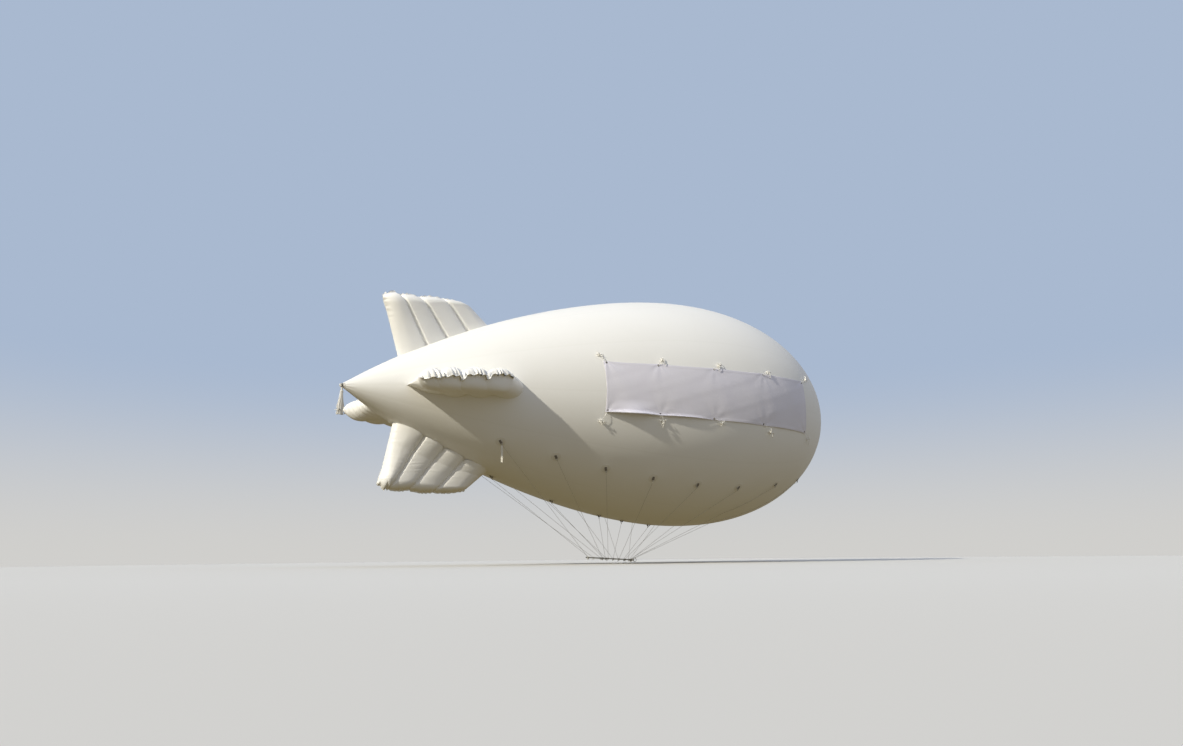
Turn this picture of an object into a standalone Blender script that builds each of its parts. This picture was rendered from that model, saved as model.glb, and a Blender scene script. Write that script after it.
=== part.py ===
"""A tethered helium balloon: a streamlined envelope with four inflated tail fins, two banners,
three rows of load patches, and the bridle lines that gather on one bar below.

Metres, +X towards the nose, +Y to port, +Z up. The origin is the centre of lift, on the envelope's
axis. Stations and heights written as shares are parts of the envelope's length, from the tail tip.
"""

import math
from collections import namedtuple

import bmesh
import bpy
from mathutils import Matrix, Vector
from mathutils.bvhtree import BVHTree

# Envelope
LENGTH = 9.0
LIFT_STATION = 0.59  # centre of the envelope's volume, as a share from the tail
PROFILE = (0.6526, -0.4966, 0.8108, -0.4582)  # r/L = s * sqrt(1 - s) * (a + b s + c s^2 + d s^3)
WALL = 0.010  # thickness of the envelope and of each fin
NECK_STATION = 0.008  # the tail opening, closed by the tail fitting
ENVELOPE_SIDES = 60
ENVELOPE_STATIONS = 26
GAP = 0.0003  # between pieces that touch

# Nose patch, where the gores meet
NOSE_PATCH_RINGS = 3
NOSE_PATCH_STEP = 0.0011  # stations from one ring to the next
NOSE_PATCH_LIFT = 0.0012  # clear of the envelope's facets
NOSE_PATCH_THICKNESS = 0.004
NOSE_PATCH_SIDES = 30

# Tail fitting and the filling sleeve below it
SPIGOT_DEPTH = 0.05
SPIGOT_FIT = 0.98  # share of the opening's radius
TIP_RADIUS = 0.012
TIP_SIDES = 16
STUB_RADIUS = 0.014
STUB_DROP = 0.075
STUB_STATION = 0.0035
STUB_TOP = -0.005  # inside the fitting
SLEEVE_SIDES = 12
SLEEVE_SECTIONS = (  # drop below the stub, width, thickness, shift towards the tail
    (0.000, 0.034, 0.034, 0.000),
    (0.060, 0.046, 0.032, 0.003),
    (0.150, 0.072, 0.030, 0.008),
    (0.240, 0.100, 0.030, 0.014),
    (0.275, 0.080, 0.034, 0.016),
    (0.300, 0.096, 0.030, 0.018),
    (0.335, 0.106, 0.024, 0.020),
)

# Fins, as shares of the length: the seams between the four inflated lobes, trailing edge first
FIN_SEAMS = (  # root station, root height, tip station, tip height
    (0.095, 0.0560, 0.069, 0.1490),
    (0.138, 0.0765, 0.094, 0.1565),
    (0.174, 0.0925, 0.128, 0.1570),
    (0.212, 0.1075, 0.170, 0.1600),
    (0.255, 0.1260, 0.2185, 0.1550),
)
FIN_THICKNESS = 0.33  # across the fullest part of a lobe
SEAM_SHARE = 0.62  # thickness at a seam, as a share of the fullest
LOBE_CROWN = 0.0022  # how far a lobe's end bulges past its seams, as a share of the length
LOBE_STEPS = 5  # faces across a lobe
FIN_HEIGHTS = (-0.30, 0.10, 0.50, 0.80, 0.92, 0.98, 1.0)  # shares of the span, root to tip
TIP_ROUND = 0.80  # above this share of the span a lobe rounds off
FLARE_END = 0.30  # share of the span where a root's flare has faded out
PORT_DROOP = 8.0  # degrees that the port fin hangs below level
# Each fin is turned about the envelope's axis by so many degrees. Its film lies a little differently
# from the others': pinch is how far the trailing lobe thins at its root, flare the extra thickness at
# the root, aft how much further aft the trailing edge's root lies as a share of the length, and twist
# how far the leading edge stands to one side of the trailing edge at the tip.
Fin = namedtuple("Fin", "name degrees pinch flare aft twist")
FINS = (
    Fin("fin_top", 0.0, 0.4, 0.0, 0.0, 0.0),
    Fin("fin_starboard", 90.0, 0.9, 0.0, 0.007, 0.10),
    Fin("fin_bottom", 180.0, 0.3, 0.3, 0.006, 0.0),
    Fin("fin_port", -90.0 - PORT_DROOP, 0.6, 0.3, 0.004, 0.08),
)

# Load patches: a round pad with a webbing lug that leans towards the bridle bar
PAD_RADIUS = 0.075
PAD_THICKNESS = 0.004
PAD_TOP_SHARE = 0.97  # the top's radius, as a share of the foot's
PAD_SIDES = 12
LUG_ROOT_RADIUS = 0.020
LUG_TIP_RADIUS = 0.009
LUG_REACH = 0.050
SIDE_STATIONS = (0.237, 0.327, 0.413, 0.501, 0.591, 0.684, 0.786, 0.880)
SIDE_ANGLES = (46.0, 46.0, 46.0, 46.0, 46.0, 46.0, 46.0, 41.0)  # degrees from the keel
KEEL_STATIONS = (0.268, 0.386, 0.487, 0.537, 0.598)
RAY_START = 0.2  # above the envelope, for the ray that finds the facet under a patch
RAY_REACH = 0.5

# Bridle bar, its tether ring, and where each line ends along it, as shares of its length
BAR_AFT = (0.458, -0.2663)  # station and height
BAR_FORE = (0.561, -0.2716)
BAR_RADIUS = 0.010
BAR_SIDES = 12
STARBOARD_ENDS = (0.030, 0.330, 0.455, 0.690, 0.820, 0.930, 0.950, 0.970)
PORT_ENDS = (0.150, 0.300, 0.420, 0.560, 0.680, 0.905, 0.935, 0.960)
KEEL_ENDS = (0.045, 0.350, 0.400, 0.570, 0.800)
LINE_RADIUS = 0.002
LINE_UPWARD = 0.6  # how far up the bar's side a line's end turns
LINE_SIDES = 6
LINE_STEPS = 16  # points looked at along a line that presses on the envelope
LINE_CLEARANCE = 0.007  # between the envelope and the middle of a line that lies on it
RING_RADIUS = 0.030
RING_THICKNESS = 0.008
RING_SIDES = 20
RING_WIRE_SIDES = 6

# Banners: left and right ends, and the heights of the edges above the envelope's axis
BANNER_STATIONS = (0.386, 0.832)
BANNER_TOP = (0.0505, 0.0545)  # height at the aft end and at the fore end, as shares
BANNER_BOTTOM = (-0.0345, -0.0440)
BANNER_THICKNESS = 0.003
BANNER_CLEARANCE = 0.006
BANNER_COLUMNS = 16
BANNER_ROWS = 6

# Loose strap that hangs from the aftmost starboard patch
STRAP_LENGTH = 0.24
STRAP_DROP = 0.014  # of its top below the lug's tip
STRAP_WIDTH = 0.028
STRAP_THICKNESS = 0.004
STRAP_SECTIONS = 6

MATERIALS = {  # linear colour, roughness, metallic
    "envelope_film": ((0.80, 0.79, 0.74), 0.38, 0.0),
    "fin_film": ((0.78, 0.77, 0.72), 0.42, 0.0),
    "banner_vinyl": ((0.72, 0.71, 0.80), 0.55, 0.0),
    "patch_webbing": ((0.52, 0.50, 0.46), 0.70, 0.0),
    "line_cord": ((0.70, 0.70, 0.68), 0.80, 0.0),
    "bar_metal": ((0.60, 0.61, 0.62), 0.35, 1.0),
    "sleeve_film": ((0.76, 0.74, 0.68), 0.50, 0.0),
}


def material(name):
    """One Principled material for each finish, made once."""
    found = bpy.data.materials.get(name)
    if found:
        return found
    colour, roughness, metallic = MATERIALS[name]
    made = bpy.data.materials.new(name)
    made.use_nodes = True
    shader = made.node_tree.nodes["Principled BSDF"]
    shader.inputs["Base Color"].default_value = (*colour, 1.0)
    shader.inputs["Roughness"].default_value = roughness
    shader.inputs["Metallic"].default_value = metallic
    made.diffuse_color = (*colour, 1.0)
    return made


def add_object(name, mesh, finish):
    """Put a mesh in the scene as one named piece."""
    mesh.materials.append(material(finish))
    mesh.shade_smooth()
    mesh.set_sharp_from_angle(angle=math.radians(35))
    piece = bpy.data.objects.new(name, mesh)
    bpy.context.scene.collection.objects.link(piece)
    return piece


def skin(name, rings, closed_path=False, caps=True):
    """A mesh through rings of equal length; rings that shrink to a point or a line are merged."""
    build = bmesh.new()
    loops = [[build.verts.new(point) for point in ring] for ring in rings]
    count = len(rings[0])
    following = loops[1:] + (loops[:1] if closed_path else [])
    for low, high in zip(loops, following):
        for k in range(count):
            build.faces.new((low[k], low[(k + 1) % count], high[(k + 1) % count], high[k]))
    if caps and not closed_path:
        build.faces.new(reversed(loops[0]))
        build.faces.new(loops[-1])
    bmesh.ops.remove_doubles(build, verts=build.verts, dist=0.00002)
    bmesh.ops.dissolve_degenerate(build, edges=build.edges, dist=0.00002)
    bmesh.ops.recalc_face_normals(build, faces=build.faces)
    mesh = bpy.data.meshes.new(name)
    build.to_mesh(mesh)
    build.free()
    return mesh


def radius_at(station):
    """The envelope's outer radius at a share of its length from the tail."""
    a, b, c, d = PROFILE
    curve = a + b * station + c * station**2 + d * station**3
    return LENGTH * station * math.sqrt(max(0.0, 1.0 - station)) * curve


def place(station):
    """X of a station."""
    return (station - LIFT_STATION) * LENGTH


def outward(station):
    """The envelope's outward slope at a station, as shares along X and along the radius."""
    if station > 0.9999:
        return 1.0, 0.0
    step = 0.00005
    rise = (radius_at(station + step) - radius_at(station - step)) / (2 * step * LENGTH)
    size = math.hypot(1.0, rise)
    return -rise / size, 1.0 / size


def surface_point(station, angle, offset=0.0):
    """A point on the envelope, angle in degrees from the keel towards port, and its normal."""
    along, across = outward(station)
    reach = radius_at(station) + offset * across
    turn = math.radians(angle)
    side = Vector((0.0, math.sin(turn), -math.cos(turn)))
    normal = Vector((along, 0.0, 0.0)) + side * across
    return Vector((place(station) + offset * along, 0.0, 0.0)) + side * reach, normal


def turned(name, profile, sides, finish):
    """A closed body turned about X from a profile of x and radius."""
    rings = []
    for x, radius in profile:
        turn = [2 * math.pi * k / sides for k in range(sides)]
        rings.append([Vector((x, radius * math.sin(t), -radius * math.cos(t))) for t in turn])
    return add_object(name, skin(name, rings), finish)


def envelope_stations():
    """Stations from the tail opening to the nose, closer together where the nose rounds."""
    spread = [k / ENVELOPE_STATIONS for k in range(ENVELOPE_STATIONS + 1)]
    return [NECK_STATION + (1 - NECK_STATION) * (1 - (1 - t) ** 2) for t in spread]


def make_envelope():
    """The gas envelope: a thin turned shell, open at the tail."""
    outer, inner = [], []
    for station in envelope_stations():
        along, across = outward(station)
        x, radius = place(station), radius_at(station)
        outer.append((x, radius))
        if inner:
            inner.append((x - WALL * along, max(0.0, radius - WALL * across)))
        else:
            inner.append((x, radius - WALL / across))
    profile = outer + inner[::-1]
    rings = []
    for x, radius in profile:
        turn = [2 * math.pi * k / ENVELOPE_SIDES for k in range(ENVELOPE_SIDES)]
        rings.append([Vector((x, radius * math.sin(t), -radius * math.cos(t))) for t in turn])
    mesh = skin("envelope", rings, closed_path=True)
    return add_object("envelope", mesh, "envelope_film")


def make_nose_patch():
    """The round patch over the meeting of the gores, at the nose."""
    rim = [1.0 - NOSE_PATCH_STEP * k for k in range(NOSE_PATCH_RINGS)]
    outer, inner = [], []
    for station in rim:
        along, across = outward(station)
        x, radius = place(station), radius_at(station)
        near, far = NOSE_PATCH_LIFT, NOSE_PATCH_LIFT + NOSE_PATCH_THICKNESS
        inner.append((x + near * along, radius + near * across))
        outer.append((x + far * along, radius + far * across))
    return turned("nose_patch", outer + inner[::-1], NOSE_PATCH_SIDES, "envelope_film")


def make_tail_fitting():
    """A pointed plug in the tail opening, with the short filling stub under it."""
    start = place(NECK_STATION)
    radius = radius_at(NECK_STATION)
    across = outward(NECK_STATION)[1]
    spigot = (radius - WALL / across - GAP) * SPIGOT_FIT
    profile = (
        (start + SPIGOT_DEPTH, 0.0),
        (start + SPIGOT_DEPTH, spigot),
        (start - GAP, spigot),
        (start - GAP, radius),
        (place(0.0), TIP_RADIUS),
        (place(0.0) - TIP_RADIUS / 2, TIP_RADIUS / 2),
        (place(0.0) - TIP_RADIUS, 0.0),
    )
    plug = turned("tail_fitting", profile, TIP_SIDES, "patch_webbing")
    x = place(STUB_STATION)
    rings = []
    for z in (STUB_TOP, -STUB_DROP):
        ring = []
        for k in range(SLEEVE_SIDES):
            turn = 2 * math.pi * k / SLEEVE_SIDES
            ring.append(Vector((x + STUB_RADIUS * math.cos(turn), STUB_RADIUS * math.sin(turn), z)))
        rings.append(ring)
    stub = add_object("stub_cutter", skin("stub_cutter", rings), "patch_webbing")
    stub.hide_render = True
    stub.display_type = "WIRE"
    join = plug.modifiers.new("Stub", "BOOLEAN")
    join.operation = "UNION"
    join.object = stub
    return plug


def make_sleeve():
    """The filling sleeve: a soft tube that hangs from the stub, tied off near its end."""
    top = -STUB_DROP - GAP
    rings = []
    for drop, width, thickness, shift in SLEEVE_SECTIONS:
        ring = []
        for k in range(SLEEVE_SIDES):
            turn = 2 * math.pi * k / SLEEVE_SIDES
            x = place(STUB_STATION) - shift + 0.5 * width * math.cos(turn)
            ring.append(Vector((x, 0.5 * thickness * math.sin(turn), top - drop)))
        rings.append(ring)
    return add_object("fill_sleeve", skin("fill_sleeve", rings), "sleeve_film")


def fin_point(fin, across, height, fullness):
    """A point on a fin's middle plane and its half thickness.

    across runs over the lobes from 0 at the trailing edge to 4 at the leading edge. The thickness is
    an arc across each lobe, whose height there is fullness, and it ends in a quarter round at the tip.
    """
    lobe = min(int(across), 3)
    share = across - lobe
    aft, fore = FIN_SEAMS[lobe], FIN_SEAMS[lobe + 1]
    seam = [a + (b - a) * share for a, b in zip(aft, fore)]
    trailing = max(0.0, 1.0 - across) * (1.0 - min(1.0, max(0.0, height)))
    station = seam[0] + (seam[2] - seam[0]) * height - fin.aft * trailing
    crown = LOBE_CROWN * math.sin(math.pi * share) * max(0.0, height)
    rise = seam[1] + (seam[3] - seam[1]) * height + crown
    rounding = max(0.0, (height - TIP_ROUND) / (1.0 - TIP_ROUND))
    flare = 1.0 + fin.flare * max(0.0, 1.0 - max(0.0, height) / FLARE_END)
    body = FIN_THICKNESS * (1.0 - fin.pinch * trailing) * flare
    half = 0.5 * fullness * body * math.sqrt(max(0.0, 1.0 - rounding**2))
    aside = fin.twist * height * (across / 4.0 - 0.5)
    return Vector((place(station), aside, rise * LENGTH)), half


def lobe_samples():
    """Pairs of place across the fin and fullness, from the trailing edge to the leading edge."""
    reach = math.sqrt(1.0 - SEAM_SHARE**2)
    pairs = []
    for lobe in range(4):
        first = -1.0 if lobe == 0 else -reach
        last = 1.0 if lobe == 3 else reach
        low, high = math.acos(-first), math.acos(-last)
        for k in range(LOBE_STEPS + (lobe == 3)):
            turn = low + (high - low) * k / LOBE_STEPS
            share = (-math.cos(turn) - first) / (last - first)
            pairs.append((lobe + share, math.sin(turn)))
    return pairs


def make_fin(fin, cutter):
    """One inflated fin: four lobes side by side, a thin shell open at its root on the envelope."""
    pairs = lobe_samples()
    rings = []
    for height in FIN_HEIGHTS:
        middles = [fin_point(fin, across, height, full) for across, full in pairs]
        ring = [point + Vector((0.0, half, 0.0)) for point, half in middles]
        ring += [point - Vector((0.0, half, 0.0)) for point, half in middles[-2:0:-1]]
        rings.append(ring)
    mesh = skin(fin.name, rings, caps=False)
    mesh.transform(Matrix.Rotation(math.radians(fin.degrees), 4, "X"))
    film = add_object(fin.name, mesh, "fin_film")
    shell = film.modifiers.new("Wall", "SOLIDIFY")
    shell.thickness = WALL
    shell.offset = -1.0
    trim = film.modifiers.new("Root", "BOOLEAN")
    trim.operation = "DIFFERENCE"
    trim.object = cutter


def make_fins():
    """The four fins, each trimmed to the envelope's outside."""
    profile = []
    for station in envelope_stations():
        along, across = outward(station)
        profile.append((place(station) + GAP * along, radius_at(station) + GAP * across))
    profile.insert(0, (profile[0][0], 0.0))
    cutter = turned("envelope_cutter", profile, ENVELOPE_SIDES, "envelope_film")
    cutter.hide_render = True
    cutter.display_type = "WIRE"
    for fin in FINS:
        make_fin(fin, cutter)


def bar_point(share):
    """A point on the bridle bar's axis."""
    station = BAR_AFT[0] + (BAR_FORE[0] - BAR_AFT[0]) * share
    height = BAR_AFT[1] + (BAR_FORE[1] - BAR_AFT[1]) * share
    return Vector((place(station), 0.0, height * LENGTH))


def tube(name, points, radius, sides, finish):
    """A round bar along a row of points; its section is carried from one to the next untwisted."""
    ways = [(b - a).normalized() for a, b in zip(points, points[1:])]
    way = ways[0]
    aside = way.orthogonal().normalized()
    rings = []
    for k, centre in enumerate(points):
        here = (ways[max(k - 1, 0)] + ways[min(k, len(ways) - 1)]).normalized()
        aside = way.rotation_difference(here) @ aside
        way = here
        over = way.cross(aside)
        ring = []
        for j in range(sides):
            angle = 2 * math.pi * j / sides
            ring.append(centre + radius * (math.cos(angle) * aside + math.sin(angle) * over))
        rings.append(ring)
    return add_object(name, skin(name, rings), finish)


def make_bar():
    """The bar that all the bridle lines end on."""
    return tube("bridle_bar", [bar_point(0.0), bar_point(1.0)], BAR_RADIUS, BAR_SIDES, "bar_metal")


def make_tether_ring():
    """The ring at the bar's fore end that a tether clips to."""
    centre = bar_point(1.0) + Vector((RING_RADIUS + 0.5 * RING_THICKNESS + GAP * 2, 0.0, 0.0))
    rings = []
    for k in range(RING_SIDES):
        angle = 2 * math.pi * (k + 0.5) / RING_SIDES
        way = Vector((math.cos(angle), 0.0, math.sin(angle)))
        ring = []
        for j in range(RING_WIRE_SIDES):
            turn = 2 * math.pi * (j + 0.5) / RING_WIRE_SIDES
            out = 0.5 * RING_THICKNESS * math.cos(turn)
            ring.append(centre + way * (RING_RADIUS + out)
                        + Vector((0.0, 0.5 * RING_THICKNESS * math.sin(turn), 0.0)))
        rings.append(ring)
    return add_object("tether_ring", skin("tether_ring", rings, closed_path=True), "bar_metal")


def facet_under(tree, station, angle):
    """The point and normal of the envelope's own facet at a place on its surface."""
    point, normal = surface_point(station, angle)
    hit, facing, _, _ = tree.ray_cast(point + normal * RAY_START, -normal, RAY_REACH)
    return hit, facing


def make_patch(name, tree, station, angle, target):
    """A round pad on the envelope with a lug that leans the way its line pulls; returns the lug's tip."""
    foot, normal = facet_under(tree, station, angle)
    foot = foot + normal * GAP
    pull = (target - foot).normalized()
    lean = (normal + pull).normalized()
    tip = foot + lean * LUG_REACH
    rings = []
    levels = (
        (foot, normal, PAD_RADIUS),
        (foot + normal * PAD_THICKNESS, normal, PAD_RADIUS * PAD_TOP_SHARE),
        (foot + normal * PAD_THICKNESS, normal, LUG_ROOT_RADIUS),
        (tip, lean, LUG_TIP_RADIUS),
    )
    aside = normal.cross(pull).normalized()
    for centre, axis, radius in levels:
        over = axis.cross(aside).normalized()
        ring = []
        for k in range(PAD_SIDES):
            turn = 2 * math.pi * k / PAD_SIDES
            ring.append(centre + radius * (math.cos(turn) * aside + math.sin(turn) * over))
        rings.append(ring)
    add_object(name, skin(name, rings), "patch_webbing")
    return tip, lean


def line_route(start, end):
    """Points of a taut line: straight, or pressed out over the envelope where that is in the way."""
    route = []
    for k in range(LINE_STEPS + 1):
        point = start.lerp(end, k / LINE_STEPS)
        across = Vector((0.0, point.y, point.z))
        least = radius_at(point.x / LENGTH + LIFT_STATION) + LINE_CLEARANCE
        if across.length < least:
            point = Vector((point.x, 0.0, 0.0)) + across.normalized() * least
            route.append(point)
    return [start] + route + [end]


def make_line(name, tip, lean, share, side):
    """A taut bridle line from a lug's tip to its place on the bar."""
    centre = bar_point(share)
    start = tip + lean * (LINE_RADIUS + GAP * 2)
    reach = BAR_RADIUS + LINE_RADIUS + GAP
    along = (bar_point(1.0) - bar_point(0.0)).normalized()
    way = (start - centre).normalized() + Vector((0.0, side, LINE_UPWARD))
    end = centre + (way - along * way.dot(along)).normalized() * reach
    return tube(name, line_route(start, end), LINE_RADIUS, LINE_SIDES, "line_cord")


def make_rigging(envelope):
    """Every load patch with its line, row by row."""
    build = bmesh.new()
    build.from_mesh(envelope.data)
    tree = BVHTree.FromBMesh(build)
    build.free()
    sides = tuple(zip(SIDE_STATIONS, SIDE_ANGLES))
    rows = (  # name, stations with angles from the keel towards port, ends on the bar, side of the bar
        ("starboard", [(s, -a) for s, a in sides], STARBOARD_ENDS, -1.0),
        ("port", [(s, a) for s, a in sides], PORT_ENDS, 1.0),
        ("keel", [(s, 0.0) for s in KEEL_STATIONS], KEEL_ENDS, 0.0),
    )
    tips = {}
    for row, places, ends, side in rows:
        for number, ((station, angle), share) in enumerate(zip(places, ends), 1):
            label = f"{row}_{number}"
            tip, lean = make_patch(f"patch_{label}", tree, station, angle, bar_point(share))
            make_line(f"line_{label}", tip, lean, share, side)
            tips[label] = tip
    return tips


def make_banner(name, side):
    """A blank vinyl banner that lies along the flank; side is 1 for port and -1 for starboard."""
    outer, inner = [], []
    for column in range(BANNER_COLUMNS + 1):
        along = column / BANNER_COLUMNS
        station = BANNER_STATIONS[0] + (BANNER_STATIONS[1] - BANNER_STATIONS[0]) * along
        top = BANNER_TOP[0] + (BANNER_TOP[1] - BANNER_TOP[0]) * along
        bottom = BANNER_BOTTOM[0] + (BANNER_BOTTOM[1] - BANNER_BOTTOM[0]) * along
        strip = ([], [])
        for row in range(BANNER_ROWS + 1):
            height = (bottom + (top - bottom) * row / BANNER_ROWS) * LENGTH
            angle = 90.0 + math.degrees(math.asin(height / radius_at(station)))
            for wall, offset in zip(strip, (BANNER_CLEARANCE + BANNER_THICKNESS, BANNER_CLEARANCE)):
                wall.append(surface_point(station, angle * side, offset)[0])
        outer.append(strip[0])
        inner.append(strip[1])
    rings = [high + low[::-1] for high, low in zip(outer, inner)]
    build = bmesh.new()
    loops = [[build.verts.new(point) for point in ring] for ring in rings]
    count = len(rings[0])
    for low, high in zip(loops, loops[1:]):
        for k in range(count):
            build.faces.new((low[k], low[(k + 1) % count], high[(k + 1) % count], high[k]))
    for loop in (loops[0], loops[-1]):
        for k in range(BANNER_ROWS):
            build.faces.new((loop[k], loop[k + 1], loop[count - 2 - k], loop[count - 1 - k]))
    bmesh.ops.recalc_face_normals(build, faces=build.faces)
    mesh = bpy.data.meshes.new(name)
    build.to_mesh(mesh)
    build.free()
    return add_object(name, mesh, "banner_vinyl")


def make_strap(tip):
    """A short loose strap that hangs straight down from a lug's tip."""
    rings = []
    for k in range(STRAP_SECTIONS + 1):
        drop = STRAP_DROP + STRAP_LENGTH * k / STRAP_SECTIONS
        centre = tip - Vector((0.0, 0.0, drop))
        half = Vector((0.5 * STRAP_WIDTH, 0.0, 0.0))
        thick = Vector((0.0, 0.5 * STRAP_THICKNESS, 0.0))
        near = [centre - half - thick, centre + half - thick]
        rings.append(near + [centre + half + thick, centre - half + thick])
    return add_object("loose_strap", skin("loose_strap", rings), "line_cord")


def main():
    for old in list(bpy.data.objects):
        bpy.data.objects.remove(old, do_unlink=True)
    envelope = make_envelope()
    make_nose_patch()
    make_tail_fitting()
    make_sleeve()
    make_fins()
    make_bar()
    make_tether_ring()
    tips = make_rigging(envelope)
    make_banner("banner_starboard", -1.0)
    make_banner("banner_port", 1.0)
    make_strap(tips["starboard_1"])


main()
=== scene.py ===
"""The looks of a tethered helium balloon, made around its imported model.

Metres, +X towards the nose, +Y to port, +Z up, with the origin at the centre of lift. A station is a
share of the envelope's length from the tail, and an angle is in degrees from the keel towards port.
"""

import math

import bmesh
import bpy
import numpy as np
from bpy.props import FloatProperty, FloatVectorProperty, IntProperty, PointerProperty
from bpy.types import Operator, Panel, PropertyGroup
from mathutils import Matrix, Vector


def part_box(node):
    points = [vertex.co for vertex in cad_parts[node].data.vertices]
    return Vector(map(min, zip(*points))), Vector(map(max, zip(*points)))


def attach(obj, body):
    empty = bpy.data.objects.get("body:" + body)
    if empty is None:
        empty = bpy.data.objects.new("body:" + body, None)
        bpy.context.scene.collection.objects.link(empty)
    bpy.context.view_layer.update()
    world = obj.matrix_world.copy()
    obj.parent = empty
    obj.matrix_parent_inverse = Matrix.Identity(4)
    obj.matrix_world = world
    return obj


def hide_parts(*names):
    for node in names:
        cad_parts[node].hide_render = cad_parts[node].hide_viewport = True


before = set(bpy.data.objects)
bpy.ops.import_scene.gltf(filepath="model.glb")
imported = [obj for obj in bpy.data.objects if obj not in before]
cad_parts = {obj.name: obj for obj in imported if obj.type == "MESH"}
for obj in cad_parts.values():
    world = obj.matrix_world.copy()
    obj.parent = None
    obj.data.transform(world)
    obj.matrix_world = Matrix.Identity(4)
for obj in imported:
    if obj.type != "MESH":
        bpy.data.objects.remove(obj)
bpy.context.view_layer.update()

bl_info = {
    "name": "Tethered helium balloon",
    "version": (1, 0, 0),
    "blender": (4, 5, 0),
    "location": "3D view > Sidebar > Balloon",
    "description": "Film, fins, banners and rigging of a tethered helium balloon",
    "category": "Object",
}

# The envelope and the places on it, as the CAD has them
LIFT_STATION = 0.59
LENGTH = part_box("envelope")[1].x / (1.0 - LIFT_STATION)
PROFILE = (0.6526, -0.4966, 0.8108, -0.4582)  # r/L = s * sqrt(1 - s) * (a + b s + c s^2 + d s^3)
NECK_STATION = 0.008
FIN_SEAMS = np.array((  # root station, root height, tip station, tip height
    (0.095, 0.0560, 0.069, 0.1490),
    (0.138, 0.0765, 0.094, 0.1565),
    (0.174, 0.0925, 0.128, 0.1570),
    (0.212, 0.1075, 0.170, 0.1600),
    (0.255, 0.1260, 0.2185, 0.1550),
))
FIN_THICKNESS = 0.33
SEAM_SHARE = 0.62
LOBE_CROWN = 0.0022
TIP_ROUND = 0.80
FLARE_END = 0.30
FINS = (  # node, turn about the axis in degrees, its form as in the CAD, and how its film lies
    ("fin_top", 0.0, (0.4, 0.0, 0.0, 0.0), {"spill": 0.8, "gathers": 0.7, "flatten": 0.75, "raised": 0.028}),
    ("fin_starboard", 90.0, (0.9, 0.0, 0.007, 0.10),
     {"spill": 1.2, "seam_turn": (-0.10, 0.30), "draw": 0.35, "fill": 0.9, "gathers": 1.5, "puff": 0.030}),
    ("fin_bottom", 180.0, (0.3, 0.3, 0.006, 0.0),
     {"spill": 0.8, "gathers": 0.55, "creases": 0.0020, "flatten": 0.55, "shift": (0.004, 0.011)}),
    ("fin_port", -98.0, (0.6, 0.3, 0.004, 0.08),
     {"spill": 1.6, "seam_turn": (0.10, -0.10), "draw": -0.25, "fill": 0.5, "gathers": 1.3, "puff": 0.020, "frill": 2.6}),
)
SIDE_STATIONS = (0.237, 0.327, 0.413, 0.501, 0.591, 0.684, 0.786, 0.880)
SIDE_ANGLES = (46.0, 46.0, 46.0, 46.0, 46.0, 46.0, 46.0, 41.0)
KEEL_STATIONS = (0.268, 0.386, 0.487, 0.537, 0.598)
STARBOARD_ENDS = (0.030, 0.330, 0.455, 0.690, 0.820, 0.930, 0.950, 0.970)
PORT_ENDS = (0.150, 0.300, 0.420, 0.560, 0.680, 0.905, 0.935, 0.960)
KEEL_ENDS = (0.045, 0.350, 0.400, 0.570, 0.800)
LUG_REACH = 0.050
BAR_ENDS = np.array((((0.458 - LIFT_STATION), 0.0, -0.2663), ((0.561 - LIFT_STATION), 0.0, -0.2716))) * LENGTH
BAR_RADIUS = 0.010
RING_RADIUS = 0.030
RING_WIRE = 0.004
BANNER_STATIONS = (0.386, 0.832)
BANNER_TOP = (0.0505, 0.0545)
BANNER_BOTTOM = (-0.0345, -0.0440)
STUB_STATION = 0.0035
STUB_DROP = 0.075
STUB_RADIUS = 0.014
SLEEVE_SECTIONS = np.array((  # drop below the stub, width, thickness, shift towards the tail
    (0.000, 0.034, 0.034, 0.000),
    (0.060, 0.046, 0.032, 0.003),
    (0.150, 0.072, 0.030, 0.008),
    (0.240, 0.100, 0.030, 0.014),
    (0.275, 0.080, 0.034, 0.016),
    (0.300, 0.096, 0.030, 0.018),
    (0.335, 0.106, 0.024, 0.020),
))
STRAP_LENGTH = 0.24
STRAP_WIDTH = 0.028
STRAP_DROP = 0.014


def linear(colour):
    """An sRGB hex colour as linear red, green and blue."""
    shares = np.array([int(colour[k:k + 2], 16) for k in (0, 2, 4)]) / 255.0
    return tuple(np.where(shares <= 0.04045, shares / 12.92, ((shares + 0.055) / 1.055) ** 2.4))


def smooth(value, low, high):
    """0 below low, 1 above high and an S-curve between, 3 t^2 - 2 t^3."""
    share = np.clip((value - low) / (high - low), 0.0, 1.0)
    return share * share * (3.0 - 2.0 * share)


def uneven(place, length, seed=0.0):
    """A wave that doesn't soon repeat: three sines, the later ones 1.6 and 2.7 times as quick."""
    turn = 2.0 * np.pi * place / length
    slow = np.sin(turn + seed) + 0.6 * np.sin(1.618 * turn + 2.1 * seed + 1.0)
    return (slow + 0.35 * np.sin(2.7 * turn + 3.7 * seed + 2.0)) / 1.95


def unit(vectors):
    """The same directions at length 1."""
    return vectors / np.linalg.norm(vectors, axis=-1, keepdims=True)


def through(known, values, wanted):
    """A smooth curve through values at known places: Hermite cubics with the values' own slopes."""
    slopes = np.gradient(values, known, axis=0)
    left = np.clip(np.searchsorted(known, wanted, side="right") - 1, 0, len(known) - 2)
    step = (known[left + 1] - known[left])[:, None]
    t = (wanted - known[left])[:, None] / step
    rise = (3.0 - 2.0 * t) * t * t
    bend = values[left] + rise * (values[left + 1] - values[left])
    return bend + step * (t * (1.0 - t) ** 2 * slopes[left] - t * t * (1.0 - t) * slopes[left + 1])


# Meshes

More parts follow.
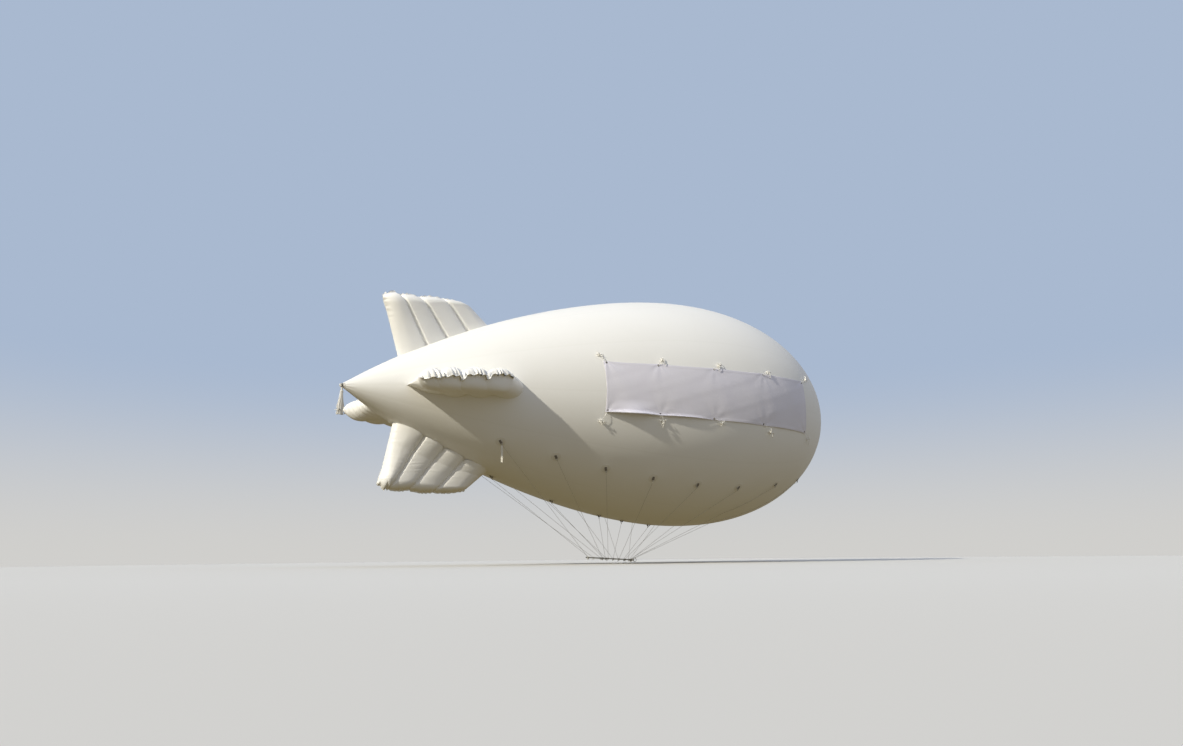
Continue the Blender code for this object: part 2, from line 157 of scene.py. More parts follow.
def measured(points):
    """A grid's own UV in metres: the mean distance along its rows and along its columns."""
    down = np.linalg.norm(np.diff(points, axis=0), axis=2).mean(axis=1)
    along = np.linalg.norm(np.diff(points, axis=1), axis=2).mean(axis=0)
    u, v = np.meshgrid(
        np.concatenate(([0.0], np.cumsum(down))), np.concatenate(([0.0], np.cumsum(along))), indexing="ij"
    )
    return np.stack((u, v), axis=-1)


def outward_quads(points):
    """The quads of a grid, turned so that the volume they enclose round their middle is positive."""
    rows, columns = points.shape[:2]
    index = np.arange(rows * columns).reshape(rows, columns)
    quads = np.stack((index[:-1, :-1], index[:-1, 1:], index[1:, 1:], index[1:, :-1]), axis=-1).reshape(-1, 4)
    flat = points.reshape(-1, 3)
    corner = flat[quads] - flat.mean(axis=0)
    volume = 0.0
    for second, third in ((1, 2), (2, 3)):
        volume += (corner[:, 0] * np.cross(corner[:, second], corner[:, third])).sum()
    return quads if volume > 0.0 else quads[:, ::-1]


def make_piece(name, grids, nodes=(), crease=40.0):
    """One piece from grids of points: each is (points, material) or (points, material, uv).

    A grid is rows by columns by 3. Points that meet are merged, which closes its seams and poles.
    """
    corners, faces, finishes, maps, materials, start = [], [], [], [], [], 0
    for points, finish, *uv in grids:
        quads = outward_quads(points)
        if finish not in materials:
            materials.append(finish)
        corners.append(points.reshape(-1, 3))
        faces.append(quads + start)
        finishes.append(np.full(len(quads), materials.index(finish)))
        maps.append((uv[0] if uv else measured(points)).reshape(-1, 2)[quads.ravel()])
        start += points.shape[0] * points.shape[1]
    mesh = bpy.data.meshes.new(name)
    mesh.from_pydata(np.concatenate(corners).tolist(), [], np.concatenate(faces).tolist())
    for finish in materials:
        mesh.materials.append(finish)
    mesh.polygons.foreach_set("material_index", np.concatenate(finishes).astype(np.int32))
    mesh.uv_layers.new(name="UVMap").uv.foreach_set("vector", np.concatenate(maps).astype(np.float32).ravel())
    build = bmesh.new()
    build.from_mesh(mesh)
    bmesh.ops.remove_doubles(build, verts=build.verts, dist=0.00002)
    build.to_mesh(mesh)
    build.free()
    mesh.shade_smooth()
    mesh.set_sharp_from_angle(angle=math.radians(crease))
    piece = bpy.data.objects.new(name, mesh)
    bpy.context.scene.collection.objects.link(piece)
    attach(piece, "root")
    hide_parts(*nodes)
    return piece


def round_section(radius, sides):
    """A circle, whose last point is its first again."""
    turn = np.linspace(0.0, 2.0 * np.pi, sides + 1)
    return radius * np.stack((np.cos(turn), np.sin(turn)), axis=1)


def flat_section(width, thickness, sides=16):
    """A flat strap's section: a superellipse, so its edges are round and its faces flat."""
    turn = np.linspace(0.0, 2.0 * np.pi, sides + 1)
    edge = np.sign(np.cos(turn)) * np.abs(np.cos(turn)) ** 0.35
    face = np.sign(np.sin(turn)) * np.abs(np.sin(turn)) ** 0.35
    return np.stack((0.5 * width * edge, 0.5 * thickness * face), axis=1)


def swept(path, hint, section, scale=None, closed=False):
    """A section carried along a path, square to it, with its first axis leaning towards the hint.

    An open path ends in a pole at each end, and a closed one joins its first ring.
    """
    path = np.asarray(path, float)
    if closed:
        tangent = unit(np.roll(path, -1, axis=0) - np.roll(path, 1, axis=0))
    else:
        tangent = unit(np.gradient(path, axis=0))
    hint = np.broadcast_to(np.asarray(hint, float), path.shape)
    first = unit(hint - (hint * tangent).sum(axis=1, keepdims=True) * tangent)
    second = np.cross(tangent, first)
    size = np.ones(len(path)) if scale is None else np.asarray(scale, float)
    offset = section[None, :, :1] * first[:, None] + section[None, :, 1:] * second[:, None]
    rings = path[:, None] + size[:, None, None] * offset
    if closed:
        return np.concatenate((rings, rings[:1]))
    start = np.broadcast_to(path[0], rings[:1].shape)
    end = np.broadcast_to(path[-1], rings[:1].shape)
    return np.concatenate((start, rings, end))


def knot(centre, size, across, up, radius, sides=6):
    """A small overhand knot: a trefoil, (sin t + 2 sin 2t, cos t - 2 cos 2t, -sin 3t), drawn tight."""
    turn = np.linspace(0.0, 2.0 * np.pi, 43)[:-1]
    third = np.cross(across, up)
    flat = (np.sin(turn) + 2.0 * np.sin(2.0 * turn), np.cos(turn) - 2.0 * np.cos(2.0 * turn), -np.sin(3.0 * turn))
    loop = sum(amount[:, None] * axis for amount, axis in zip(flat, (across, up, third))) * size / 3.0
    return swept(centre + loop, loop, round_section(radius, sides), closed=True)


def coil(start, axis, out, radius, turns, pitch):
    """Points of a helix about an axis, that leaves start in the way out and winds on along the axis."""
    turn = np.linspace(0.0, 2.0 * np.pi * turns, int(14 * turns))[:, None]
    side = np.cross(axis, out)
    return start + radius * (np.cos(turn) * out + np.sin(turn) * side) + axis * pitch * turn / (2.0 * np.pi)


# The envelope as a surface

def hull_radius(station):
    """The envelope's radius: L s sqrt(1 - s) times a cubic in s, as in the CAD."""
    a, b, c, d = PROFILE
    curve = a + b * station + c * station**2 + d * station**3
    return LENGTH * station * np.sqrt(np.maximum(0.0, 1.0 - station)) * curve


def hull_slope(station):
    """The outward normal's shares along X and along the radius."""
    near = np.minimum(station, 0.99995)
    step = 0.00003
    rise = (hull_radius(near + step) - hull_radius(near - step)) / (2.0 * step * LENGTH)
    size = np.hypot(1.0, rise)
    return -rise / size, 1.0 / size


def patch_places():
    """Every load patch: label, station, angle, end on the bar, and side of the bar."""
    places = []
    for number, (station, angle) in enumerate(zip(SIDE_STATIONS, SIDE_ANGLES)):
        places.append((f"starboard_{number + 1}", station, -angle, STARBOARD_ENDS[number], -1.0))
        places.append((f"port_{number + 1}", station, angle, PORT_ENDS[number], 1.0))
    for number, station in enumerate(KEEL_STATIONS):
        places.append((f"keel_{number + 1}", station, 0.0, KEEL_ENDS[number], 0.0))
    return places


def hull_relief(station, angle):
    """How far the film stands off the turned form.

    It sinks along each gore weld, by (1 - |sin|) squared of the angle, and is drawn out in a bell
    curve at each load patch.
    """
    looks = bpy.context.scene.balloon_hull
    radius = hull_radius(station)
    weld = 1.0 - np.abs(np.sin(0.5 * looks.gores * np.radians(angle)))
    relief = -looks.weld_sink * weld**2 * np.minimum(1.0, radius / 0.5)
    for _, patch_station, patch_angle, _, _ in patch_places():
        along = (station - patch_station) * LENGTH
        around = radius * np.radians((angle - patch_angle + 180.0) % 360.0 - 180.0)
        relief = relief + looks.tent_height * np.exp(-(along**2 + around**2) / looks.tent_width**2)
    return relief


def hull_point(station, angle, offset=0.0):
    """Points on the film, or a distance off it along its normal."""
    station, angle, offset = np.broadcast_arrays(np.asarray(station, float), angle, offset)
    along, across = hull_slope(station)
    reach = offset + hull_relief(station, angle)
    turn = np.radians(angle)
    x = (station - LIFT_STATION) * LENGTH + reach * along
    radius = hull_radius(station) + reach * across
    return np.stack((x, radius * np.sin(turn), -radius * np.cos(turn)), axis=-1)


def hull_normal(station, angle):
    """The outward normal of the turned form."""
    along, across = hull_slope(np.asarray(station, float))
    turn = np.radians(angle)
    return np.stack((along + 0.0 * turn, across * np.sin(turn), -across * np.cos(turn)), axis=-1)


def bar_point(share):
    """A point on the bridle bar's axis."""
    return BAR_ENDS[0] + (BAR_ENDS[1] - BAR_ENDS[0]) * share


# Finishes

def add_node(tree, kind, inputs=None, **settings):
    """Add one node. settings are its properties, and inputs maps a socket's name or number to a value
    or to another node's output."""
    node = tree.nodes.new(kind)
    for name, value in settings.items():
        setattr(node, name, value)
    for key, value in (inputs or {}).items():
        if isinstance(value, bpy.types.NodeSocket):
            tree.links.new(value, node.inputs[key])
        else:
            node.inputs[key].default_value = value
    return node


def new_finish(name, colour, roughness, metallic=0.0, **sockets):
    """A material with its Principled shader's constants set; returns it, its nodes and its shader."""
    finish = bpy.data.materials.new(name)
    finish.use_nodes = True
    tree = finish.node_tree
    shader = tree.nodes["Principled BSDF"]
    shader.inputs["Base Color"].default_value = (*colour, 1.0)
    shader.inputs["Roughness"].default_value = roughness
    shader.inputs["Metallic"].default_value = metallic
    for socket, value in sockets.items():
        shader.inputs[socket.replace("_", " ")].default_value = value
    finish.diffuse_color = (*colour, 1.0)
    return finish, tree, shader


def tinted(tree, shader, factor, first, second):
    """The shader's colour goes from first to second by a factor."""
    mix = add_node(tree, "ShaderNodeMix", {0: factor, 6: (*first, 1.0), 7: (*second, 1.0)}, data_type="RGBA")
    tree.links.new(mix.outputs[2], shader.inputs["Base Color"])
    return mix


def bumped(tree, shader, *layers):
    """Bump from layers of (height, depth in metres, strength), one on another."""
    below = None
    for height, depth, strength in layers:
        inputs = {"Height": height, "Distance": depth, "Strength": strength}
        if below:
            inputs["Normal"] = below
        below = add_node(tree, "ShaderNodeBump", inputs).outputs["Normal"]
    tree.links.new(below, shader.inputs["Normal"])


def noise(tree, place, size_mm, detail=3.0, roughness=0.5):
    """Noise whose lumps are about a size in millimetres."""
    inputs = {"Vector": place, "Scale": 1000.0 / size_mm, "Detail": detail, "Roughness": roughness}
    return add_node(tree, "ShaderNodeTexNoise", inputs).outputs["Fac"]


def maths(tree, operation, first, second=0.5, third=0.5):
    """One Math node's value."""
    return add_node(tree, "ShaderNodeMath", {0: first, 1: second, 2: third}, operation=operation).outputs[0]


def hull_film():
    """Coated nylon gas film, heat-welded: soft satin white, with faint darker weld tapes between
    gores, a slow change of tone and a fine crinkle."""
    white, shade = linear("F8F7F4"), linear("F1F0EB")
    finish, tree, shader = new_finish("coated_nylon_gas_film", white, 0.40, Specular_IOR_Level=0.42)
    place = add_node(tree, "ShaderNodeTexCoord").outputs["Object"]
    uv = add_node(tree, "ShaderNodeSeparateXYZ", {0: add_node(tree, "ShaderNodeUVMap", uv_map="UVMap").outputs[0]})
    radial = add_node(tree, "ShaderNodeVectorMath", {0: place, 1: (0.0, 1.0, 1.0)}, operation="MULTIPLY")
    radius = add_node(tree, "ShaderNodeVectorMath", {0: radial.outputs[0]}, operation="LENGTH").outputs["Value"]
    gores = bpy.context.scene.balloon_hull.gores
    middle = maths(tree, "ABSOLUTE", maths(tree, "SUBTRACT", maths(tree, "FRACT", maths(tree, "ADD", uv.outputs[0])), 0.5))
    aside = maths(tree, "MULTIPLY", maths(tree, "MULTIPLY", middle, radius), 2.0 * math.pi / gores)
    tape = add_node(tree, "ShaderNodeMapRange", {0: aside, 1: 0.016, 2: 0.011}, interpolation_type="SMOOTHSTEP")
    slow = noise(tree, place, 900.0, 2.0)
    tone = maths(tree, "MULTIPLY_ADD", tape.outputs[0], 0.22, maths(tree, "MULTIPLY", slow, 0.6))
    tinted(tree, shader, tone, white, shade)
    bumped(
        tree,
        shader,
        (tape.outputs[0], 0.0004, 0.4),
        (noise(tree, place, 140.0, 2.0), 0.0030, 0.22),
        (noise(tree, place, 14.0, 3.0), 0.0004, 0.20),
    )
    return finish


def plain_film(name, white, shade, crinkle_mm, crinkle):
    """Coated nylon film without gores, as on fins, patches and the sleeve: satin white whose fine
    crinkle catches the light."""
    finish, tree, shader = new_finish(name, linear(white), 0.42, Specular_IOR_Level=0.42)
    place = add_node(tree, "ShaderNodeTexCoord").outputs["Object"]
    tinted(tree, shader, noise(tree, place, 260.0, 3.0), linear(white), linear(shade))
    bumped(
        tree,
        shader,
        (noise(tree, place, crinkle_mm, 4.0, 0.6), 0.0030, crinkle),
        (noise(tree, place, 9.0, 2.0), 0.0004, 0.25),
    )
    return finish


def banner_vinyl():
    """PVC-coated polyester banner: cool white, matt, with its scrim showing as a faint grid. The real
    threads are 1 mm apart, and are drawn 8 mm apart so that they show."""
    light, shade = linear("EEECF5"), linear("E3E1EE")
    finish, tree, shader = new_finish("coated_polyester_banner", light, 0.55, Specular_IOR_Level=0.35)
    place = add_node(tree, "ShaderNodeTexCoord").outputs["Object"]
    uv = add_node(tree, "ShaderNodeUVMap", uv_map="UVMap").outputs[0]
    split = add_node(tree, "ShaderNodeSeparateXYZ", {0: uv})
    thread = 2.0 * math.pi / 0.008
    warp = maths(tree, "SINE", maths(tree, "MULTIPLY", split.outputs[0], thread))
    weft = maths(tree, "SINE", maths(tree, "MULTIPLY", split.outputs[1], thread))
    tinted(tree, shader, noise(tree, place, 500.0, 3.0), light, shade)
    bumped(
        tree,
        shader,
        (maths(tree, "MAXIMUM", warp, weft), 0.0003, 0.25),
        (noise(tree, place, 70.0, 3.0), 0.0030, 0.25),
    )
    return finish


def webbing(name, colour, shade):
    """Woven polyester webbing: matt, with cross ribs from its weave, 2 mm apart."""
    finish, tree, shader = new_finish(name, linear(colour), 0.85, Sheen_Weight=0.15)
    uv = add_node(tree, "ShaderNodeUVMap", uv_map="UVMap").outputs[0]
    split = add_node(tree, "ShaderNodeSeparateXYZ", {0: uv})
    rib = maths(tree, "SINE", maths(tree, "MULTIPLY", split.outputs[0], 2.0 * math.pi / 0.002))
    place = add_node(tree, "ShaderNodeTexCoord").outputs["Object"]
    tinted(tree, shader, noise(tree, place, 12.0), linear(colour), linear(shade))
    bumped(tree, shader, (rib, 0.0003, 0.6))
    return finish


def braided_cord(name, colour, shade):
    """Braided polyester cord: matt strands that cross at a slant, 2 mm apart, darker where the strands dip, which is
    painted shade.
    """
    finish, tree, shader = new_finish(name, linear(colour), 0.75, Sheen_Weight=0.1)
    uv = add_node(tree, "ShaderNodeUVMap", uv_map="UVMap").outputs[0]
    split = add_node(tree, "ShaderNodeSeparateXYZ", {0: uv})
    strand = 2.0 * math.pi / 0.002
    one = maths(tree, "ADD", split.outputs[0], split.outputs[1])
    other = maths(tree, "SUBTRACT", split.outputs[0], split.outputs[1])
    one = maths(tree, "SINE", maths(tree, "MULTIPLY", one, strand))
    other = maths(tree, "SINE", maths(tree, "MULTIPLY", other, strand))
    braid = maths(tree, "MULTIPLY", one, other)
    # painted shade: the colour goes to the darker tone where the braid's bump is low, between the strands
    tinted(tree, shader, maths(tree, "MULTIPLY_ADD", braid, 0.5, 0.5), linear(shade), linear(colour))
    bumped(tree, shader, (braid, 0.0004, 0.5))
    return finish


def drawn_metal(name, colour, roughness):
    """Drawn or bent metal: bright, with fine scratches that spread its reflections."""
    finish, tree, shader = new_finish(name, linear(colour), roughness, metallic=1.0)
    place = add_node(tree, "ShaderNodeTexCoord").outputs["Object"]
    scratch = noise(tree, place, 3.0, 4.0, 0.7)
    rough = add_node(tree, "ShaderNodeMapRange", {0: scratch, 3: roughness - 0.08, 4: roughness + 0.12})
    tree.links.new(rough.outputs[0], shader.inputs["Roughness"])
    bumped(tree, shader, (scratch, 0.0002, 0.3))
    return finish


def moulded_plastic(name, colour):
    """Moulded plastic: even, with a soft gloss and a fine grain."""
    finish, tree, shader = new_finish(name, linear(colour), 0.45)
    place = add_node(tree, "ShaderNodeTexCoord").outputs["Object"]
    grain = noise(tree, place, 1.5, 2.0)
    tinted(tree, shader, grain, linear(colour), tuple(0.85 * part for part in linear(colour)))
    bumped(tree, shader, (grain, 0.0001, 0.4))
    return finish


FINISHES = {  # the function that makes each finish, and what it is told
    "hull_film": (hull_film,),
    "fin_film": (plain_film, "coated_nylon_fin_film", "FDFCF9", "F7F5F0", 60.0, 0.30),
    "patch_film": (plain_film, "welded_patch_film", "F3F1EB", "E9E6DE", 30.0, 0.15),
    "sleeve_film": (plain_film, "thin_sleeve_film", "F7F5F0", "ECE9E1", 25.0, 0.45),
    "banner": (banner_vinyl,),
    # the loop webbing's grey-brown is partly its own colour and partly painted shade, darkened to stand for the small
    # shadow under each lug
    "dark_webbing": (webbing, "woven_polyester_webbing", "857D70", "6E675C"),
    "light_webbing": (webbing, "bleached_polyester_webbing", "F1EEE4", "DEDACE"),
    "line_cord": (braided_cord, "braided_polyester_line", "C4C1B8", "A5A299"),
    "white_cord": (braided_cord, "braided_cotton_tie", "FBFAF6", "E6E3DA"),
    "dark_cord": (braided_cord, "braided_elastic_tie", "6B6964", "4F4D49"),
    "aluminium": (drawn_metal, "drawn_aluminium_tube", "C9CBCE", 0.34),
    "steel": (drawn_metal, "bent_stainless_rod", "B4B5B6", 0.28),
    "brass": (drawn_metal, "dull_brass_eyelet", "6E6350", 0.45),
    "plug": (moulded_plastic, "moulded_end_plug", "6A6C6E"),
    # the hole finish is painted shade: a dark disc, made with the moulded plastic maker, that stands for the shadow
    # inside an eyelet hole
    "hole": (moulded_plastic, "shadowed_eyelet_hole", "2A2825"),
}
MADE = {}


def finish_of(name):
    """One of the finishes, made the first time it is asked for."""
    if name not in MADE:
        maker, *words = FINISHES[name]
        MADE[name] = maker(*words)
    return MADE[name]


# Settings

class HullSettings(PropertyGroup):
    gores: IntProperty(name="Gores", description="Panels round the envelope", default=12, min=4, max=32)
    weld_sink: FloatProperty(
        name="Weld sink", description="How far the film sinks along a gore weld",
        default=0.0015, min=0.0, max=0.02, unit="LENGTH",
    )
    tent_height: FloatProperty(
        name="Tent height", description="How far a load patch draws the film out",
        default=0.007, min=0.0, max=0.02, unit="LENGTH",
    )
    tent_width: FloatProperty(
        name="Tent width", description="Reach of the film drawn out round a load patch",
        default=0.12, min=0.05, max=0.4, unit="LENGTH",
    )


class FinSettings(PropertyGroup):
    pleat_pitch: FloatProperty(
        name="Pleat pitch", description="From one pleat to the next along a fin's tip seam",
        default=0.074, min=0.02, max=0.2, unit="LENGTH",
    )
    pleat_depth: FloatProperty(
        name="Pleat depth", description="Depth of the pleats at the tip seam",
        default=0.034, min=0.0, max=0.06, unit="LENGTH",
    )
    notch: FloatProperty(
        name="Notch", description="How far the tip draws in at a seam between lobes",
        default=0.006, min=0.0, max=0.06, unit="LENGTH",
    )
    frill_depth: FloatProperty(
        name="Frill depth", description="Depth of the pleats along the trailing edge",
        default=0.030, min=0.0, max=0.06, unit="LENGTH",
    )
    ruffle: FloatProperty(
        name="Ruffle", description="Depth of the waves of the trailing edge",
        default=0.010, min=0.0, max=0.04, unit="LENGTH",
    )
    pucker: FloatProperty(
        name="Seam pucker", description="Depth of the puckers along the seams between lobes",
        default=0.004, min=0.0, max=0.02, unit="LENGTH",
    )
    flange: FloatProperty(
        name="Tip flange", description="Width of the welded film edge at a fin's tip",
        default=0.020, min=0.0, max=0.05, unit="LENGTH",
    )


class BannerSettings(PropertyGroup):
    hem: FloatProperty(
        name="Hem", description="Width of the welded hem round a banner",
        default=0.035, min=0.01, max=0.1, unit="LENGTH",
    )
    edge_sag: FloatProperty(
        name="Edge sag", description="How far a long edge draws in between two eyelets",
        default=0.012, min=0.0, max=0.05, unit="LENGTH",
    )
    loose_lift: FloatProperty(
        name="Loose edge", description="How far the loose stretch of the lower edge stands off",
        default=0.080, min=0.0, max=0.12, unit="LENGTH",
    )


class RiggingSettings(PropertyGroup):
    line_radius: FloatProperty(
        name="Line radius", description="Radius of a bridle line",
        default=0.002, min=0.001, max=0.005, unit="LENGTH",
    )
    tie_radius: FloatProperty(
        name="Tie radius", description="Radius of the cords that tie the banners on",
        default=0.003, min=0.001, max=0.006, unit="LENGTH",
    )


class StageSettings(PropertyGroup):
    floor_colour: FloatVectorProperty(
        name="Floor", description="Colour of the pale floor", default=linear("DAD9D6"), size=3, subtype="COLOR",
    )
    backdrop_colour: FloatVectorProperty(
        name="Backdrop", description="Colour of the backdrop", default=linear("A9B9D0"), size=3, subtype="COLOR",
    )
    sun_strength: FloatProperty(name="Key light", description="Strength of the key light", default=3.15, min=0.0)
    sky_strength: FloatProperty(name="Soft light", description="Strength of the soft light", default=1.0, min=0.0)
    sky_light: FloatVectorProperty(
        name="From above", description="Soft light from above", default=(0.505, 0.570, 0.720), size=3, subtype="COLOR",
    )
    level_light: FloatVectorProperty(
        name="From the sides", description="Soft light from the sides", default=(0.335, 0.334, 0.320), size=3,
        subtype="COLOR",
    )
    ground_light: FloatVectorProperty(
        name="From below", description="Soft light from below", default=(0.168, 0.133, 0.060), size=3, subtype="COLOR",
    )


# Pieces

def envelope_grid():
    """Stations spaced by a cosine, so that both ends are finely divided, by angles round the keel.

    The tail opening is gathered: its radius waves round the neck and fades out forward.
    """
    along = 0.5 - 0.5 * np.cos(np.linspace(0.0, np.pi, 241))
    station = (NECK_STATION + (1.0 - NECK_STATION) * along)[:, None]
    angle = np.linspace(0.0, 360.0, 217)[None, :]
    fade = 1.0 - smooth(station, NECK_STATION, 0.025)
    turn = np.radians(angle)
    gather = 0.025 * hull_radius(station) * fade * np.sin(13.0 * turn + 0.7 * np.sin(2.0 * turn))
    points = hull_point(station, angle, gather)
    gores = bpy.context.scene.balloon_hull.gores
    u = np.broadcast_to(angle * gores / 360.0, points.shape[:2])
    v = np.broadcast_to(station * LENGTH, points.shape[:2])
    return points, np.stack((u, v), axis=-1)


class BALLOON_OT_envelope(Operator):
    """Add the gas envelope, and the round patch over the meeting of the gores at its nose"""

    bl_idname = "balloon.envelope"
    bl_label = "Envelope"

    def execute(self, context):
        points, uv = envelope_grid()
        make_piece("Envelope_film", [(points, finish_of("hull_film"), uv)], ["envelope"])
        low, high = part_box("nose_patch")
        reach = 0.5 * (high.y - low.y)
        radii = np.concatenate((np.linspace(0.0, 0.985, 14), (1.0, 1.0, 0.5, 0.0))) * reach
        lift = np.concatenate((np.full(14, 0.0045), (0.0038, 0.0006, 0.0006, 0.0006)))
        rows = np.linspace(0.93, 1.0, 400)
        station = np.interp(radii, hull_radius(rows)[::-1], rows[::-1])[:, None]
        patch = hull_point(station, np.linspace(0.0, 360.0, 73)[None, :], lift[:, None])
        make_piece("Nose_patch_film", [(patch, finish_of("patch_film"))], ["nose_patch"])
        return {"FINISHED"}


class BALLOON_OT_tail(Operator):
    """Add the gathered tail end with its lashing, and the filling sleeve tied off near its end"""

    bl_idname = "balloon.tail"
    bl_label = "Tail end and sleeve"

    def execute(self, context):
        neck = (NECK_STATION - LIFT_STATION) * LENGTH
        tip = -LIFT_STATION * LENGTH
        white = finish_of("patch_film")
        share = np.linspace(0.0, 1.0, 40)
        radius = through(
            np.array((0.0, 0.22, 0.45, 0.70, 0.90, 1.0)),
            np.array((0.047, 0.038, 0.024, 0.021, 0.016, 0.0))[:, None], share,
        )
        turn = np.linspace(0.0, 2.0 * np.pi, 97)[None, :]
        fold = 1.0 + 0.16 * np.sin(11.0 * turn + 3.0 * share[:, None]) * smooth(share, 0.0, 0.35)[:, None]
        x = (neck + 0.004 + (tip - 0.010 - neck) * share)[:, None] + 0.0 * turn
        gather = np.stack((x, radius * fold * np.sin(turn), -radius * fold * np.cos(turn)), axis=-1)
        back = np.array((-1.0, 0.0, 0.0))
        down = np.array((0.0, 0.0, -1.0))
        side = np.array((0.0, 1.0, 0.0))
        lashing = coil(np.array((neck - 0.030, 0.0, 0.0)), back, down, 0.027, 4.0, 0.0045)
        stub_x = (STUB_STATION - LIFT_STATION) * LENGTH
        drop = np.linspace(0.012, STUB_DROP, 9)
        stub_path = np.stack((0.0 * drop + stub_x, 0.0 * drop, -drop), axis=1)
        make_piece(
            "Tail_gather",
            [
                (gather, white),
                (swept(lashing, back, round_section(0.0028, 8)), finish_of("dark_cord")),
                (swept(stub_path, back, round_section(STUB_RADIUS, 24)), white),
            ],
            ["tail_fitting"],
        )
        drop = np.linspace(0.0, SLEEVE_SECTIONS[-1, 0], 90)
        width, thickness, shift = through(SLEEVE_SECTIONS[:, 0], SLEEVE_SECTIONS[:, 1:], drop).T[:, :, None]
        turn = np.linspace(0.0, 2.0 * np.pi, 73)[None, :]
        pleat = 1.0 + 0.10 * np.sin(9.0 * turn + 8.0 * drop[:, None]) * smooth(drop, 0.0, 0.05)[:, None]
        sleeve = np.stack(
            (
                stub_x - shift + 0.5 * width * pleat * np.cos(turn),
                0.5 * thickness * pleat * np.sin(turn),
                -STUB_DROP - 0.001 - drop[:, None] + 0.006 * np.sin(5.0 * turn) * smooth(drop, 0.26, 0.33)[:, None],
            ),
            axis=-1,
        )
        pole = sleeve[-1:].mean(axis=1, keepdims=True)
        mouth = pole + (sleeve[-1:] - pole) * 0.9 + np.array((0.0, 0.0, 0.030))
        sleeve = np.concatenate((sleeve, mouth, np.broadcast_to(pole + (0.0, 0.0, 0.035), mouth.shape)))
        tie_at = np.array((stub_x - 0.034, 0.0, -STUB_DROP - 0.269))
        flatter = np.array((1.0, 0.42, 1.0))
        tie = coil(tie_at, down, back, 0.052, 2.0, 0.006) * flatter
        clamp_at = np.array((stub_x, 0.0, -STUB_DROP - 0.006))
        clamp = coil(clamp_at, down, back, 0.0235, 3.0, 0.005)
        make_piece(
            "Filling_sleeve",
            [
                (sleeve, finish_of("sleeve_film")),
                (swept(tie, down, round_section(0.0022, 8)), finish_of("white_cord")),
                (swept(clamp, down, round_section(0.003, 8)), finish_of("white_cord")),
                (knot(tie_at - 0.024 * side, 0.009, back, down, 0.003), finish_of("dark_cord")),
            ],
            ["fill_sleeve"],
        )
        return {"FINISHED"}


LOBE_COLUMNS = 58  # across one side of a lobe
SPAN_ROWS = 64
TIP_ROWS = 34
FLANGE_ROWS = 4


def lobe_columns():
    """Round a fin's section and back to the start: place across (0 at the trailing edge to 4 at the
    leading edge), fullness and side. A lobe is an arc that is cut off where it meets its neighbour."""
    reach = math.sqrt(1.0 - SEAM_SHARE**2)
    across, fullness = [], []
    for lobe in range(4):
        first = -1.0 if lobe == 0 else -reach
        last = 1.0 if lobe == 3 else reach
        turn = np.linspace(np.arccos(-first), np.arccos(-last), LOBE_COLUMNS + 1)
        kept = slice(0, None if lobe == 3 else -1)
        across.append((lobe + (-np.cos(turn) - first) / (last - first))[kept])
        fullness.append(np.sin(turn)[kept])
    across, fullness = np.concatenate(across), np.concatenate(fullness)
    side = np.concatenate((np.ones(len(across)), -np.ones(len(across) - 1)))
    return np.concatenate((across, across[-2::-1])), np.concatenate((fullness, fullness[-2::-1])), side


def fin_outline(across, height):
    """X and distance from the envelope's axis on a fin's flat outline, height 0 to 1 root to tip."""
    lobe = np.minimum(across.astype(int), 3)
    share = across - lobe
    seam = FIN_SEAMS[lobe] + (FIN_SEAMS[lobe + 1] - FIN_SEAMS[lobe]) * share[..., None]
    station = seam[..., 0] + (seam[..., 2] - seam[..., 0]) * height
    crown = LOBE_CROWN * np.sin(np.pi * share) * np.maximum(0.0, height)
    rise = seam[..., 1] + (seam[..., 3] - seam[..., 1]) * height + crown
    return (station - LIFT_STATION) * LENGTH, rise * LENGTH


def fin_body(form, across, height):
    """X, shift to the side, distance from the axis, and thickness of a fin's plain form, as in the CAD.

    form is pinch, flare, aft and twist: the trailing lobe's wedge at its root, the root's extra
    thickness, how far aft the trailing edge's root lies, and the leading edge's shift at the tip.
    """
    pinch, flare, aft, twist = form
    x, z = fin_outline(across, height)
    trailing = np.clip(1.0 - across, 0.0, 1.0) * (1.0 - np.clip(height, 0.0, 1.0))
    flared = 1.0 + flare * np.clip(1.0 - np.maximum(height, 0.0) / FLARE_END, 0.0, 1.0)
    thickness = FIN_THICKNESS * (1.0 - pinch * trailing) * flared
    return x - aft * LENGTH * trailing, twist * height * (across / 4.0 - 0.5), z, thickness


def root_heights(form, across, fullness, side):
    """Where each column of a fin meets the envelope, found by halving."""
    low, high = np.full(len(across), -0.3), np.full(len(across), 0.6)
    for _ in range(40):
        middle = 0.5 * (low + high)
        x, aside, z, thickness = fin_body(form, across, middle)
        y = aside + 0.5 * side * thickness * fullness
        outside = np.hypot(y, z) > hull_radius(x / LENGTH + LIFT_STATION)
        low, high = np.where(outside, low, middle), np.where(outside, middle, high)
    return low


